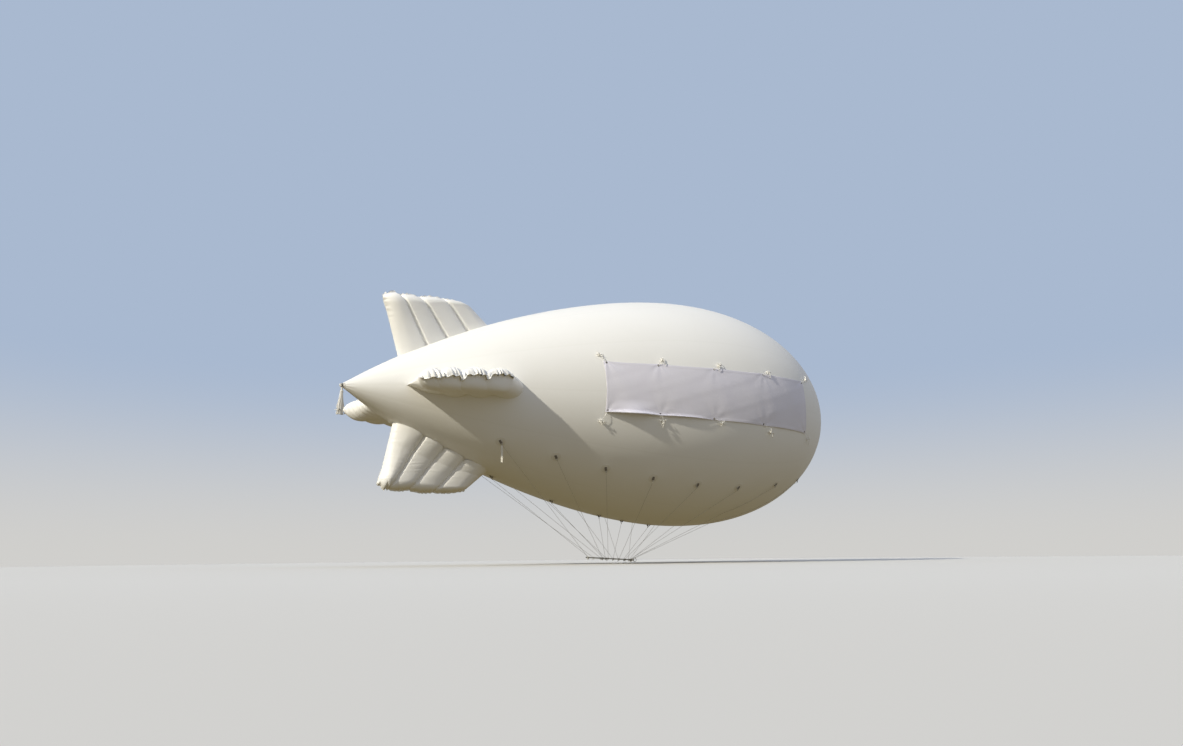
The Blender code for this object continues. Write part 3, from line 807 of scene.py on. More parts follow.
def fin_grid(
    seed, form, spill, seam_turn=(0.0, 0.0), draw=0.0, fill=0.0, flatten=0.0, gathers=1.0, puff=0.0, raised=0.0,
    frill=0.15, creases=0.0012, shift=(0.0, 0.0),
):
    """A fin built upwards from the axis: rows from the envelope to the tip seam, then the flange.

    Half the thickness is the lobe's arc times the cosine of a turn that runs from 0 to a right angle
    over the last of the span, so the tip is round. seam_turn carries the tip seam round to one face,
    from the trailing to the leading edge, and draw brings it back at each seam between lobes. fill
    plumps out that face between its lobes, and puff the other near the tip. Pleats are |sin| ridges that grow towards the tip seam, frills the same along the trailing
    edge, and puckers short waves that die away from the seams between lobes.
    """
    looks = bpy.context.scene.balloon_fins
    across, fullness, side = lobe_columns()
    lobe = np.minimum(across.astype(int), 3)
    seam_near = np.minimum(across - lobe, lobe + 1 - across) * 0.3
    inner = smooth(across, 0.35, 0.65) * smooth(-across, -3.65, -3.35)
    drawn = np.exp(-((seam_near / 0.030) ** 2)) * inner * np.interp(across, (1.4, 1.6), (0.3, 1.0))
    seam_turn = np.interp(across, (0.0, 4.0), seam_turn) - draw * drawn
    far = side * (draw if draw else 1.0) < 0.0

    root = root_heights(form, across, fullness, side) - 0.02
    rise = np.linspace(0.0, 1.0, SPAN_ROWS, endpoint=False)[:, None]
    tip_turn = np.linspace(0.0, 0.5 * np.pi, TIP_ROWS)[:, None] * (1.0 - side * seam_turn / (0.5 * np.pi))
    last = np.repeat(tip_turn[-1:], FLANGE_ROWS, axis=0)
    turn = np.concatenate((0.0 * rise + 0.0 * root, tip_turn, last))
    height = np.concatenate((
        root + (TIP_ROUND - root) * rise,
        TIP_ROUND + (1.0 - TIP_ROUND) * np.sin(np.concatenate((tip_turn, last))),
    ))
    edge = np.zeros_like(height)
    edge[-FLANGE_ROWS:] = np.arange(1, FLANGE_ROWS + 1)[:, None] / FLANGE_ROWS
    near_seam = 1.0 - np.abs(turn - tip_turn[-1:]) / (0.5 * np.pi)
    x, aside, z, thickness = fin_body(form, np.broadcast_to(across, height.shape), height)
    x = x - (shift[0] + (shift[1] - shift[0]) * height) * LENGTH * smooth(across, 0.0, 1.0) * smooth(-across, -4.0, -3.0)
    sideways, upwards = np.cos(turn), np.sin(turn)
    full = smooth(fullness, 0.0, 0.45)

    swing = 0.022 * np.sin(2.0 * np.pi * x / 0.31 + seed) + 0.012 * np.sin(2.0 * np.pi * x / 0.17 + 2.0 * seed)
    phase = (x + side * 0.4 * looks.pleat_pitch * (1.0 - near_seam) + swing) / looks.pleat_pitch
    ridge = np.abs(np.sin(np.pi * phase)) ** 0.8
    strength = 0.70 + 0.45 * uneven(x, 0.29, seed)
    tip_gain = np.interp(across, (0.0, 0.9, 1.1, 4.0), (1.0 + spill, 1.0 + spill, gathers, 0.9 * gathers))
    waver = near_seam + 0.06 * uneven(x, 0.11, seed + side)
    reach = np.where(far, 0.5 * smooth(waver, 0.75, 1.0), smooth(waver, 0.20, 0.95))
    pleats = looks.pleat_depth * reach * (ridge - 0.5) * strength * tip_gain
    scallop = np.abs(np.sin(np.pi * z / looks.pleat_pitch + 2.0 * uneven(z, 0.3, seed))) - 0.5
    frills = frill * looks.frill_depth * scallop * np.exp(-across / 0.45) * smooth(height, 0.0, 0.45)
    frills = frills * smooth(fullness, 0.0, 0.25) * np.where(far, 0.35, 1.0)
    notch = looks.notch * smooth(near_seam, 0.0, 1.0) * np.exp(-((seam_near / 0.030) ** 2)) * inner
    puckers = looks.pucker * np.exp(-seam_near / 0.035) * uneven(z, 0.085, 2.0 * side + lobe)
    lie = 0.0030 * uneven(z + 0.4 * x, 0.55, seed + side) * np.sin(np.pi * (across - lobe))
    band = np.exp(-(((height - 0.50) / 0.10) ** 2)) * np.interp(across, (0.1, 0.6, 2.0, 2.6), (0.0, 1.0, 1.0, 0.0))
    lines = creases * band * uneven(z + 0.012 * np.sin(9.0 * x), 0.060, seed)
    pleats = pleats + puff * reach * ~far
    off = pleats * full + frills + (puckers + (lie + lines) * full) * np.abs(sideways) - notch

    groove = 1.0 - np.exp(-((seam_near / 0.018) ** 2))
    plump = fullness + (1.0 - fullness) * inner * np.maximum(flatten * groove, fill * far * smooth(height, 0.0, 0.5))
    half = 0.5 * thickness * plump * sideways + 0.0012 * near_seam * (1.0 - edge)
    edge_wave = np.sin(2.0 * np.pi * x / (1.7 * looks.pleat_pitch) + seed)
    wave = edge * 0.010 * edge_wave * np.sin(0.5 * np.pi * np.minimum(1.0, fullness * 2.0))
    ruffle = looks.ruffle * np.exp(-across / 0.06) * smooth(height, 0.35, 0.9) * uneven(z, 0.075, seed)
    y = aside + side * (half + off * sideways) + wave + ruffle + looks.flange * edge * np.sin(seam_turn)
    loose = np.clip(1.0 - across, 0.0, 1.0) * smooth(height, 0.70, 1.0)
    x = x - 0.035 * spill * loose + 0.6 * ruffle
    z = z + off * upwards + looks.flange * edge * np.cos(seam_turn) + raised * smooth(-across, -1.0, -0.7) * smooth(height, 0.6, 1.0)
    return np.stack((x, y, z), axis=-1)


def turned_about_x(points, degrees):
    """The points turned about the envelope's axis."""
    turn = math.radians(degrees)
    y, z = points[..., 1], points[..., 2]
    return np.stack((points[..., 0], y * math.cos(turn) - z * math.sin(turn), y * math.sin(turn) + z * math.cos(turn)), axis=-1)


class BALLOON_OT_fins(Operator):
    """Add the four inflated fins, each of four lobes with a pleated tip seam"""

    bl_idname = "balloon.fins"
    bl_label = "Fins"

    def execute(self, context):
        for number, (node, degrees, form, lie) in enumerate(FINS):
            points = turned_about_x(fin_grid(1.3 + 2.1 * number, form, **lie), degrees)
            name = f"Fin_film_{node[4:]}"
            make_piece(name, [(points, finish_of("fin_film"))], [node], crease=55.0)
        return {"FINISHED"}


def lug_frame(station, angle, share):
    """Foot of a lug on the film, the film's normal, the way the lug leans, and the way along its loop."""
    foot = hull_point(station, angle)
    normal = hull_normal(station, angle)
    pull = unit(bar_point(share) - foot)
    lean = unit(normal + pull)
    aside = unit(np.cross(normal, pull))
    return foot, normal, lean, aside


class BALLOON_OT_patches(Operator):
    """Add the load patches: a welded round pad, a stitched webbing loop and its D-ring"""

    bl_idname = "balloon.patches"
    bl_label = "Load patches"

    def execute(self, context):
        radius = 0.075
        rho = np.array((0.0, 0.2, 0.4, 0.6, 0.8, 0.93, 1.0, 1.0, 0.5, 0.0))[:, None] * radius
        lift = np.array((1.8, 1.8, 1.8, 1.8, 1.8, 1.8, 1.3, 0.2, 0.2, 0.2))[:, None] / 1000.0
        round_about = np.linspace(0.0, 2.0 * np.pi, 37)[None, :]
        bow = np.linspace(0.0, 1.0, 34)[:, None]
        wire = np.linspace(0.0, 2.0 * np.pi, 33)[:-1, None]
        for label, station, angle, share, _ in patch_places():
            foot, normal, lean, aside = lug_frame(station, angle, share)
            across = hull_slope(station)[1]
            pad = hull_point(
                station + rho * np.cos(round_about) * across / LENGTH,
                angle + np.degrees(rho * np.sin(round_about) / hull_radius(station)), lift,
            )
            along = unit(np.cross(aside, lean))
            flat_way = unit(np.cross(aside, normal))
            rise = np.sin(np.pi * bow) ** 3
            spread = 0.030 * np.cos(np.pi * bow) * (1.0 - 0.25 * rise)
            loop = foot + 0.003 * normal + flat_way * spread + lean * 0.026 * rise
            ring = foot + aside * 0.017 * np.cos(wire) + lean * (0.025 + 0.022 * np.maximum(0.0, np.sin(wire)))
            make_piece(
                f"Load_{label}",
                [
                    (pad, finish_of("patch_film")),
                    # partly painted shade: the loop's dark webbing tone stands for the lug's shadow
                    (swept(loop, aside, flat_section(0.034, 0.0028)), finish_of("dark_webbing")),
                    (swept(ring, along, round_section(0.0024, 8), closed=True), finish_of("steel")),
                ],
                [f"patch_{label}"],
            )
        return {"FINISHED"}


def line_path(station, angle, share, side, radius):
    """A taut line from its lug to the bar, pressed out over the film where that is in the way, and
    wound on round the bar."""
    foot, _, lean, _ = lug_frame(station, angle, share)
    start = foot + lean * (LUG_REACH + radius)
    centre = bar_point(share)
    bar_way = unit(BAR_ENDS[1] - BAR_ENDS[0])
    way = unit(start - centre) + np.array((0.0, side, 0.6))
    way = unit(way - bar_way * (way * bar_way).sum())
    reach = BAR_RADIUS + radius + 0.0003
    end = centre + way * reach
    points = start + (end - start) * np.linspace(0.0, 1.0, 49)[:, None]
    radial = np.hypot(points[:, 1], points[:, 2])
    least = hull_radius(points[:, 0] / LENGTH + LIFT_STATION) + radius + 0.005
    least[0] = 0.0
    press = np.maximum(1.0, least / radial)[:, None]
    points = points * np.concatenate((np.ones_like(press), press, press), axis=1)
    wound = coil(centre, bar_way, way, reach, 2.6, 2.2 * radius)
    return np.concatenate((points, wound[2:])), start, bar_way


class BALLOON_OT_lines(Operator):
    """Add the taut bridle lines, with their knots and the turns that they take round the bar"""

    bl_idname = "balloon.lines"
    bl_label = "Bridle lines"

    def execute(self, context):
        radius = context.scene.balloon_rigging.line_radius
        section = round_section(radius, 8)
        for number, (label, station, angle, share, side) in enumerate(patch_places()):
            path, start, bar_way = line_path(station, angle, share, side, radius)
            _, _, lean, aside = lug_frame(station, angle, share)
            below = bar_point(share) - np.array((0.0, 0.0, BAR_RADIUS + 0.009))
            tail_turn = np.linspace(0.0, 1.0, 12)[:, None]
            swing = np.array((math.cos(2.4 * number), math.sin(2.4 * number), 0.0))
            tail = below + swing * 0.020 * tail_turn**2 - np.array((0.0, 0.0, 0.016)) * tail_turn
            make_piece(
                f"Bridle_line_{label}",
                [
                    (swept(path, bar_way, section), finish_of("line_cord")),
                    (knot(start, 0.007, aside, lean, radius), finish_of("line_cord")),
                    (knot(below, 0.008, bar_way, np.array((0.0, 1.0, 0.0)), 0.0026), finish_of("white_cord")),
                    (swept(tail, (1.0, 0.3, 0.0), round_section(0.0018, 6)), finish_of("white_cord")),
                ],
                [f"line_{label}"],
            )
        return {"FINISHED"}


class BALLOON_OT_bar(Operator):
    """Add the bridle bar with its end plugs, its end lashings and the tether ring"""

    bl_idname = "balloon.bar"
    bl_label = "Bridle bar and tether ring"

    def execute(self, context):
        bar_way = unit(BAR_ENDS[1] - BAR_ENDS[0])
        up = np.array((0.0, 0.0, 1.0))
        share = np.concatenate(((0.0, 0.002), np.linspace(0.01, 0.99, 30), (0.998, 1.0)))
        size = np.where((share < 0.001) | (share > 0.999), 0.85, 1.0)
        path = BAR_ENDS[0] + (BAR_ENDS[1] - BAR_ENDS[0]) * share[:, None]
        grids = [(swept(path, up, round_section(BAR_RADIUS, 32), size), finish_of("aluminium"))]
        for end, way in ((BAR_ENDS[0], bar_way), (BAR_ENDS[1], -bar_way)):
            plug = end + way * np.array((-0.0004, 0.0, 0.002, 0.014, 0.0145))[:, None]
            cap = swept(plug, up, round_section(BAR_RADIUS + 0.0009, 32), (0.7, 0.92, 1.0, 1.0, 0.95))
            grids.append((cap, finish_of("plug")))
        make_piece("Bridle_bar_tube", grids, ["bridle_bar"])
        centre = BAR_ENDS[1] + np.array((RING_RADIUS + RING_WIRE + 0.0006, 0.0, 0.0))
        turn = np.linspace(0.0, 2.0 * np.pi, 65)[:-1, None]
        circle = centre + RING_RADIUS * (np.cos(turn) * np.array((1.0, 0.0, 0.0)) + np.sin(turn) * up)
        ring = swept(circle, (0.0, 1.0, 0.0), round_section(RING_WIRE, 16), closed=True)
        make_piece("Tether_ring_rod", [(ring, finish_of("steel"))], ["tether_ring"])
        lashing = []
        for number in range(4):
            tilt = unit(np.array((0.0, math.cos(0.5 + 0.8 * number), math.sin(0.5 + 0.8 * number))))
            middle = BAR_ENDS[1] - bar_way * 0.006
            loop = middle + bar_way * (0.026 * np.cos(turn)) + tilt * (0.0145 * np.sin(turn))
            third = np.cross(bar_way, tilt)
            lashing.append((swept(loop, third, round_section(0.0022, 6), closed=True), finish_of("white_cord")))
        for end, way in ((BAR_ENDS[1] - bar_way * 0.030, bar_way), (BAR_ENDS[0] + bar_way * 0.018, bar_way)):
            wound = coil(end, way, up, BAR_RADIUS + 0.0034, 4.0, 0.0044)
            lashing.append((swept(wound, way, round_section(0.0022, 6)), finish_of("white_cord")))
        for number in range(3):
            place = BAR_ENDS[0] + bar_way * (0.020 + 0.008 * number) + np.array((0.0, 0.010 * (number - 1), -0.019 + 0.006 * number))
            lashing.append((knot(place, 0.010, bar_way, up, 0.0026), finish_of("white_cord")))
        make_piece("Bar_end_lashings", lashing)
        return {"FINISHED"}


TOP_EYELETS = (0.391, 0.482, 0.591, 0.705, 0.828)  # stations
BOTTOM_EYELETS = (0.388, 0.481, 0.586, 0.699, 0.826)
TOP_TIES = ((0.382, 21.6), (0.491, 17.7), (0.602, 16.1), (0.719, 15.8), (0.849, 20.1))
BOTTOM_TIES = ((0.381, -17.0), (0.488, -13.4), (0.603, -11.7), (0.7185, -14.0), (0.845, -17.0))
EYELET_INSET = 0.024
BANNER_LIE = 0.006


def between_eyelets(station, eyelets):
    """0 at each eyelet and 1 half-way between two, as 4 w (1 - w)."""
    place = np.interp(station, eyelets, np.arange(len(eyelets)))
    share = place - np.floor(place)
    return 4.0 * share * (1.0 - share)


def banner_point(along, up, side, offset=0.0):
    """A point on a banner's inner face, or a distance off it; along and up run from 0 to 1.

    The long edges sag between eyelets, wrinkles run out from each eyelet, and the aft half of the
    lower edge stands off the film and rolls outwards.
    """
    looks = bpy.context.scene.balloon_banner
    along, up = np.broadcast_arrays(np.asarray(along, float), np.asarray(up, float))
    station = BANNER_STATIONS[0] + (BANNER_STATIONS[1] - BANNER_STATIONS[0]) * along
    top = (BANNER_TOP[0] + (BANNER_TOP[1] - BANNER_TOP[0]) * along) * LENGTH
    bottom = (BANNER_BOTTOM[0] + (BANNER_BOTTOM[1] - BANNER_BOTTOM[0]) * along) * LENGTH
    top = top - looks.edge_sag * between_eyelets(station, TOP_EYELETS)
    bottom = bottom + looks.edge_sag * between_eyelets(station, BOTTOM_EYELETS)
    height = bottom + (top - bottom) * up
    pull_in = 0.010 * np.sin(np.pi * up) * (np.exp(-along / 0.03) - np.exp(-(1.0 - along) / 0.03))
    station = station + pull_in / LENGTH
    x = station * LENGTH
    ruck = 0.0 * x
    for eyelets, edge, way in ((TOP_EYELETS, top, 1.0), (BOTTOM_EYELETS, bottom, -1.0)):
        for number, eyelet in enumerate(eyelets):
            east, north = x - eyelet * LENGTH, (height - edge) * way
            reach = np.hypot(east, north)
            fan = np.sin(7.0 * np.arctan2(north, east) + number + way)
            ruck = ruck + 0.0035 * fan * np.exp(-reach / 0.22) * smooth(reach, 0.0, 0.08)
    ruck = ruck + 0.0025 * uneven(x + 0.6 * height, 0.9, 1.0) + 0.0015 * uneven(height - 0.3 * x, 0.35, 2.0)
    near_top = np.exp(-(top - height) / 0.10) * between_eyelets(station, TOP_EYELETS)
    near_bottom = np.exp(-(height - bottom) / 0.10) * between_eyelets(station, BOTTOM_EYELETS)
    free = np.exp(-(((station - 0.436) / 0.030) ** 2)) + 0.15 * np.exp(-(((station - 0.535) / 0.035) ** 2))
    roll = looks.loose_lift * free * (0.45 * smooth(height - bottom, 0.20, 0.0) + 0.55 * smooth(height - bottom, 0.05, 0.0))
    lift = BANNER_LIE + np.maximum(-0.003, ruck) + 0.006 * near_top + 0.008 * near_bottom + roll
    angle = 90.0 + np.degrees(np.arcsin(height / hull_radius(station)))
    return hull_point(station, angle * side, lift + offset)


def banner_way(along, up, side):
    """A banner's own outward normal, from nearby points."""
    step = 0.002
    east = banner_point(along + step, up, side) - banner_point(along - step, up, side)
    north = banner_point(along, up + step, side) - banner_point(along, up - step, side)
    return unit(np.cross(east, north)) * -side


def banner_grid(side):
    """Both faces of a banner: up the outer one and down the inner one, meeting at every edge, with a
    welded hem that is thicker than the sheet."""
    looks = bpy.context.scene.balloon_banner
    across = np.linspace(0.0, 1.0, 201)
    along = (across - 0.12 * np.sin(2.0 * np.pi * across))[:, None]
    up = (0.5 - 0.5 * np.cos(np.linspace(0.0, np.pi, 57)))[None, :]
    length = (BANNER_STATIONS[1] - BANNER_STATIONS[0]) * LENGTH
    width = (BANNER_TOP[0] - BANNER_BOTTOM[0]) * LENGTH
    from_edge = np.minimum(np.minimum(along, 1.0 - along) * length, np.minimum(up, 1.0 - up) * width)
    hem = 1.0 - smooth(from_edge, looks.hem - 0.006, looks.hem)
    thickness = (0.0012 + 0.0012 * hem) * smooth(from_edge, 0.0, 0.002)
    outer = banner_point(along, up, side, thickness)
    inner = banner_point(along, up, side)
    u = np.broadcast_to(along * length, inner.shape[:2])
    v = np.broadcast_to(up * width, inner.shape[:2])
    uv = np.stack((u, v), axis=-1)
    return np.concatenate((outer, inner[:, -2::-1]), axis=1), np.concatenate((uv, uv[:, -2::-1]), axis=1)


def rolled_hem(side):
    """The lower edge's hem rolled up on itself, from the aft corner to where it lies flat again."""
    share = np.linspace(0.0, 1.0, 80)
    roll = banner_point(0.004 + 0.44 * share, 0.012, side, 0.010)
    size = (0.35 + 0.65 * smooth(share, 0.0, 0.05)) * (1.0 - 0.8 * smooth(share, 0.45, 1.0))
    size = size * (1.0 + 0.12 * uneven(share * 1.8, 0.16, side))
    return swept(roll, (0.0, 0.0, 1.0), round_section(0.014, 12), size)


def eyelet_places(side):
    """Each eyelet's share along and up the banner, with its tie's place on the film."""
    span = BANNER_STATIONS[1] - BANNER_STATIONS[0]
    width = (BANNER_TOP[0] - BANNER_BOTTOM[0]) * LENGTH
    places = []
    for eyelets, ties, up in ((TOP_EYELETS, TOP_TIES, 1.0 - EYELET_INSET / width), (BOTTOM_EYELETS, BOTTOM_TIES, EYELET_INSET / width)):
        for eyelet, tie in zip(eyelets, ties):
            along = min(max((eyelet - BANNER_STATIONS[0]) / span, 0.008), 0.992)
            places.append((along, up, tie[0], (90.0 + tie[1]) * side))
    return places


def eyelet_grids(side):
    """A ring pressed round each eyelet hole, and a dark disc in the hole that is painted shade."""
    turn = np.linspace(0.0, 2.0 * np.pi, 25)[:-1, None]
    grids = []
    for along, up, _, _ in eyelet_places(side):
        way = banner_way(along, up, side)
        centre = banner_point(along, up, side, 0.0028)
        east = unit(np.cross(way, (0.0, 0.0, 1.0)))
        north = np.cross(way, east)
        circle = centre + 0.0125 * (np.cos(turn) * east + np.sin(turn) * north)
        grids.append((swept(circle, way, round_section(0.0032, 8), closed=True), finish_of("brass")))
        # painted shade: a dark disc just above the sheet in each hole, for the shadow inside it
        rho = np.array((0.0, 0.0105, 0.0105, 0.0))[:, None, None]
        lift = np.array((0.0006, 0.0006, 0.0, 0.0))[:, None, None]
        spread = np.cos(np.append(turn, turn[:1]))[None, :, None] * east + np.sin(np.append(turn, turn[:1]))[None, :, None] * north
        grids.append((centre + rho * spread + lift * way, finish_of("hole")))
    return grids


def tie_grids(side):
    """A cord from each eyelet, bowed off the film, to a bow knot with loose ends over a welded patch."""
    radius = bpy.context.scene.balloon_rigging.tie_radius
    rho = np.array((0.0, 0.5, 0.9, 1.0, 1.0, 0.0))[:, None] * 0.030
    lift = np.array((1.6, 1.6, 1.6, 1.2, 0.2, 0.2))[:, None] / 1000.0
    round_about = np.linspace(0.0, 2.0 * np.pi, 25)[None, :]
    share = np.linspace(0.0, 1.0, 20)[:, None]
    bow = 4.0 * share * (1.0 - share)
    cord = finish_of("white_cord")
    grids = []
    for number, (along, up, station, angle) in enumerate(eyelet_places(side)):
        pad = hull_point(
            station + rho * np.cos(round_about) / LENGTH,
            angle + np.degrees(rho * np.sin(round_about) / hull_radius(station)), lift,
        )
        start = banner_point(along, up, side, 0.003)
        way = banner_way(along, up, side)
        normal = hull_normal(station, angle)
        end = hull_point(station, angle, 0.022)
        path = start + (end - start) * share + 0.018 * bow * unit(way + normal)
        hint = unit(np.cross(end - start, way + normal))
        stem = hull_point(station, angle, 0.001) + normal * 0.022 * share
        east = unit(np.cross(normal, (0.0, 0.0, 1.0)))
        north = np.cross(normal, east)
        grids.append((pad, finish_of("patch_film")))
        grids.append((swept(path, hint, round_section(radius, 8)), cord))
        grids.append((swept(stem, east, round_section(radius, 8)), cord))
        grids.append((knot(end + 0.004 * normal, 0.020, east, north, 0.0060, 8), cord))
        for strand in range(5):
            turn = 1.26 * strand + 0.9 * math.sin(2.3 * number + 1.7 * strand)
            lean = east * math.cos(turn) + north * math.sin(turn)
            reach = 0.060 + 0.022 * math.sin(3.1 * number + 2.2 * strand)
            path = end + reach * share * lean + (0.004 + 0.014 * bow) * normal
            path = path - np.array((0.0, 0.0, 0.016)) * share**2
            grids.append((swept(path, normal, round_section(0.0046, 6)), cord))
    return grids


class BALLOON_OT_banners(Operator):
    """Add the two blank banners, each with a hem, eyelets and the cords that tie it to the film"""

    bl_idname = "balloon.banners"
    bl_label = "Banners"

    def execute(self, context):
        for word, side in (("starboard", -1.0), ("port", 1.0)):
            points, uv = banner_grid(side)
            grids = [(points, finish_of("banner"), uv), (rolled_hem(side), finish_of("banner"))]
            sheet = make_piece(f"Banner_sheet_{word}", grids, [f"banner_{word}"])
            eyelets = make_piece(f"Banner_eyelets_{word}", eyelet_grids(side))
            make_piece(f"Banner_ties_{word}", tie_grids(side))
        return {"FINISHED"}


class BALLOON_OT_strap(Operator):
    """Add the loose webbing strap that hangs from the aftmost starboard patch"""

    bl_idname = "balloon.strap"
    bl_label = "Loose strap"

    def execute(self, context):
        label, station, angle, share, _ = patch_places()[0]
        foot, _, lean, _ = lug_frame(station, angle, share)
        tip = foot + LUG_REACH * lean
        along = np.linspace(0.0, 1.0, 33)[:, None]
        path = tip - np.array((0.0, 0.0, 1.0)) * (STRAP_DROP + STRAP_LENGTH * along)
        path = path + np.array((0.0, 0.004, 0.0)) * np.sin(2.5 * np.pi * along) * along
        hem = 1.0 + 0.0 * along[:, 0]
        hem[:1] = 0.6
        strap = swept(path, (0.75, -0.66, 0.0), flat_section(STRAP_WIDTH, 0.0026), hem)
        piece = make_piece("Loose_strap_webbing", [(strap, finish_of("light_webbing"))], ["loose_strap"])
        return {"FINISHED"}


# Stage

FLOOR = -2.50
FLOOR_REACH = 20.0
BACKDROP_BEND = 11.0
CAMERA_PLACE = Vector((-10.214, -13.284, -2.373))
CAMERA_WAY = Vector((0.55862, 0.80970, 0.17982))
CAMERA_ROLL = -0.0095
CAMERA_LENS = 30.43
KEY_WAY = Vector((0.86, 0.13, -0.53))


def backdrop_grid():
    """A round floor that bends up into a wall and closes overhead: a flat disc, a quarter circle, an
    upright wall and a dome, turned about Z. Seen from outside it is clear."""
    disc = np.linspace(0.0, FLOOR_REACH, 30)
    bend = np.linspace(0.0, 0.5 * np.pi, 30)[1:]
    dome = np.linspace(0.0, 0.5 * np.pi, 30)[1:]
    wall = FLOOR_REACH + BACKDROP_BEND
    radius = np.concatenate((disc, FLOOR_REACH + BACKDROP_BEND * np.sin(bend), wall * np.cos(dome)))
    height = np.concatenate((0.0 * disc, BACKDROP_BEND * (1.0 - np.cos(bend)), BACKDROP_BEND + wall * np.sin(dome)))
    turn = np.linspace(0.0, 2.0 * np.pi, 97)[None, :]
    radius, height = radius[:, None], height[:, None]
    return np.stack((radius * np.cos(turn), radius * np.sin(turn), FLOOR + height + 0.0 * turn), axis=-1)


def stage_finish():
    """Matt painted floor that fades into an evenly lit backdrop, and is clear from outside."""
    looks = bpy.context.scene.balloon_stage
    finish, tree, shader = new_finish("matt_floor_and_backdrop", tuple(looks.floor_colour), 0.9, Specular_IOR_Level=0.1)
    place = add_node(tree, "ShaderNodeTexCoord").outputs["Object"]
    split = add_node(tree, "ShaderNodeSeparateXYZ", {0: place})
    ground = add_node(tree, "ShaderNodeVectorMath", {0: place, 1: (1.0, 1.0, 0.0)}, operation="MULTIPLY")
    reach = add_node(tree, "ShaderNodeVectorMath", {0: ground.outputs[0]}, operation="LENGTH").outputs["Value"]
    rise = add_node(tree, "ShaderNodeMapRange", {0: split.outputs[2], 1: FLOOR, 2: FLOOR + 9.0}, interpolation_type="SMOOTHSTEP")
    floor_tone = (*(0.90 * part for part in looks.floor_colour), 1.0)
    tone = add_node(tree, "ShaderNodeMix", {0: rise.outputs[0], 6: floor_tone, 7: (*looks.backdrop_colour, 1.0)}, data_type="RGBA")
    glow = add_node(tree, "ShaderNodeEmission", {"Color": tone.outputs[2]})
    fade = add_node(tree, "ShaderNodeMapRange", {0: reach, 1: 11.0, 2: 19.0}, interpolation_type="SMOOTHSTEP")
    lit = add_node(tree, "ShaderNodeMixShader", {0: fade.outputs[0], 1: shader.outputs[0], 2: glow.outputs[0]})
    clear = add_node(tree, "ShaderNodeBsdfTransparent")
    outside = add_node(tree, "ShaderNodeNewGeometry").outputs["Backfacing"]
    both = add_node(tree, "ShaderNodeMixShader", {0: outside, 1: lit.outputs[0], 2: clear.outputs[0]})
    tree.links.new(both.outputs[0], tree.nodes["Material Output"].inputs["Surface"])
    return finish


def soft_light():
    """The world: pale blue from above, and dim and warm from below, as light off dry ground."""
    looks = bpy.context.scene.balloon_stage
    world = bpy.data.worlds.new("soft_light")
    bpy.context.scene.world = world
    world.use_nodes = True
    tree = world.node_tree
    way = add_node(tree, "ShaderNodeTexCoord").outputs["Generated"]
    split = add_node(tree, "ShaderNodeSeparateXYZ", {0: way})
    rise = maths(tree, "MULTIPLY_ADD", split.outputs[2], 0.5, 0.5)
    tone = add_node(tree, "ShaderNodeValToRGB", {0: rise})
    stops = tone.color_ramp.elements
    stops[0].color = (*looks.ground_light, 1.0)
    stops[1].color = (*looks.sky_light, 1.0)
    stops.new(0.5).color = (*looks.level_light, 1.0)
    stops.new(0.28).color = (*looks.ground_light, 1.0)
    back = tree.nodes["Background"]
    tree.links.new(tone.outputs[0], back.inputs["Color"])
    back.inputs["Strength"].default_value = looks.sky_strength


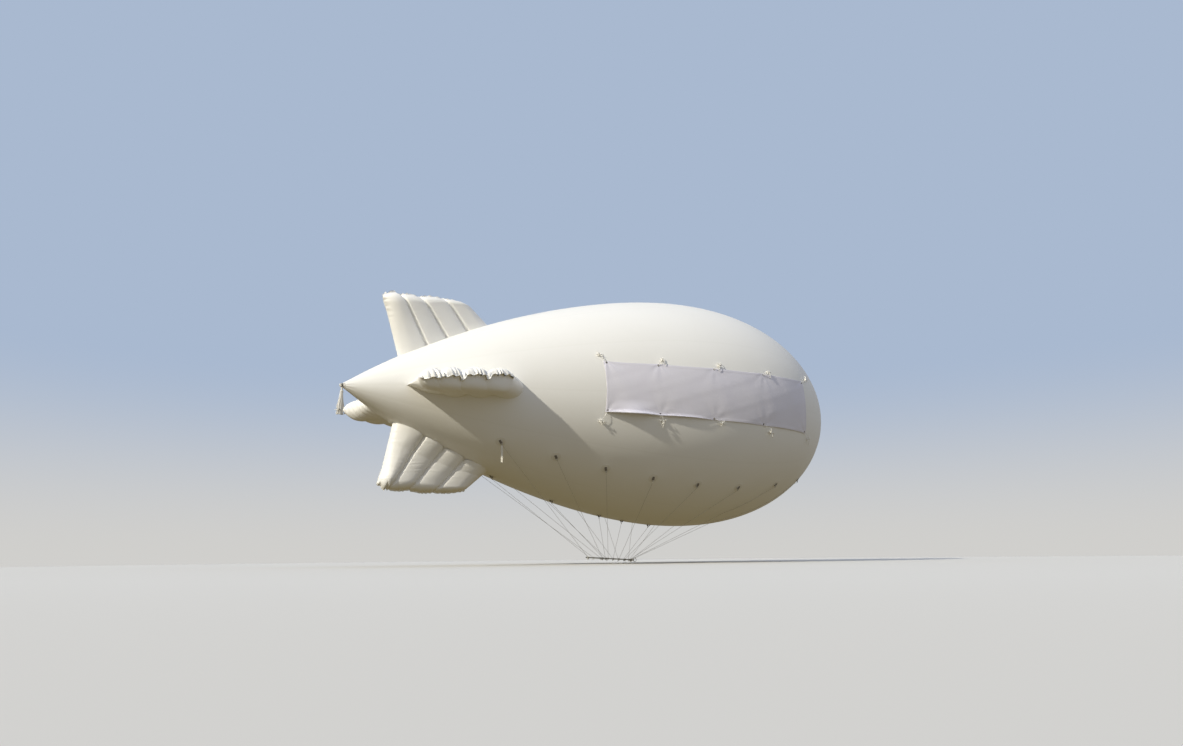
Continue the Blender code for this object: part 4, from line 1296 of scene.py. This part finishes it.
class BALLOON_OT_stage(Operator):
    """Add the floor and backdrop, the key light, the soft light and the camera"""

    bl_idname = "balloon.stage"
    bl_label = "Stage"

    def execute(self, context):
        scene = context.scene
        points = backdrop_grid()
        quads = outward_quads(points)[:, ::-1]
        mesh = bpy.data.meshes.new("Floor_and_backdrop")
        mesh.from_pydata(points.reshape(-1, 3).tolist(), [], quads.tolist())
        mesh.shade_smooth()
        mesh.materials.append(stage_finish())
        floor = bpy.data.objects.new("Floor_and_backdrop", mesh)
        scene.collection.objects.link(floor)
        floor.visible_diffuse = False
        floor.visible_glossy = False
        floor.visible_shadow = False
        soft_light()
        key = bpy.data.lights.new("Key_light", "SUN")
        key.energy = scene.balloon_stage.sun_strength
        key.angle = math.radians(1.5)
        key.color = (1.0, 0.94, 0.79)
        light = bpy.data.objects.new("Key_light", key)
        light.rotation_euler = KEY_WAY.to_track_quat("-Z", "Y").to_euler()
        scene.collection.objects.link(light)
        way = CAMERA_WAY.normalized()
        right = Vector((way.y, -way.x, 0.0)).normalized()
        up = right.cross(way)
        turned = Matrix.Rotation(CAMERA_ROLL, 3, way)
        right, up = turned.inverted() @ right, turned.inverted() @ up
        lens = bpy.data.cameras.new("Camera")
        lens.lens = CAMERA_LENS
        lens.clip_end = 200.0
        camera = bpy.data.objects.new("Camera", lens)
        camera.matrix_world = Matrix.Translation(CAMERA_PLACE) @ Matrix((right, up, -way)).transposed().to_4x4()
        scene.collection.objects.link(camera)
        scene.camera = camera
        scene.view_settings.view_transform = "Standard"
        return {"FINISHED"}


class BALLOON_PT_panel(Panel):
    bl_idname = "BALLOON_PT_panel"
    bl_label = "Tethered balloon"
    bl_space_type = "VIEW_3D"
    bl_region_type = "UI"
    bl_category = "Balloon"

    def draw(self, context):
        for operator in OPERATORS:
            self.layout.operator(operator.bl_idname)
        for name in SETTINGS:
            box = self.layout.box()
            settings = getattr(context.scene, name)
            for key in settings.bl_rna.properties.keys():
                if key not in ("rna_type", "name"):
                    box.prop(settings, key)


SETTINGS = {
    "balloon_hull": HullSettings,
    "balloon_fins": FinSettings,
    "balloon_banner": BannerSettings,
    "balloon_rigging": RiggingSettings,
    "balloon_stage": StageSettings,
}
OPERATORS = (
    BALLOON_OT_envelope,
    BALLOON_OT_tail,
    BALLOON_OT_fins,
    BALLOON_OT_patches,
    BALLOON_OT_lines,
    BALLOON_OT_bar,
    BALLOON_OT_banners,
    BALLOON_OT_strap,
    BALLOON_OT_stage,
)
CLASSES = (*SETTINGS.values(), *OPERATORS, BALLOON_PT_panel)


def register():
    for item in CLASSES:
        bpy.utils.register_class(item)
    for name, settings in SETTINGS.items():
        setattr(bpy.types.Scene, name, PointerProperty(type=settings))


def unregister():
    for name in SETTINGS:
        delattr(bpy.types.Scene, name)
    for item in reversed(CLASSES):
        bpy.utils.unregister_class(item)


def main():
    register()
    for operator in OPERATORS:
        group, name = operator.bl_idname.split(".")
        if getattr(getattr(bpy.ops, group), name)() != {"FINISHED"}:
            raise RuntimeError(f"{operator.bl_label} didn't finish")


if __name__ == "__main__":
    main()
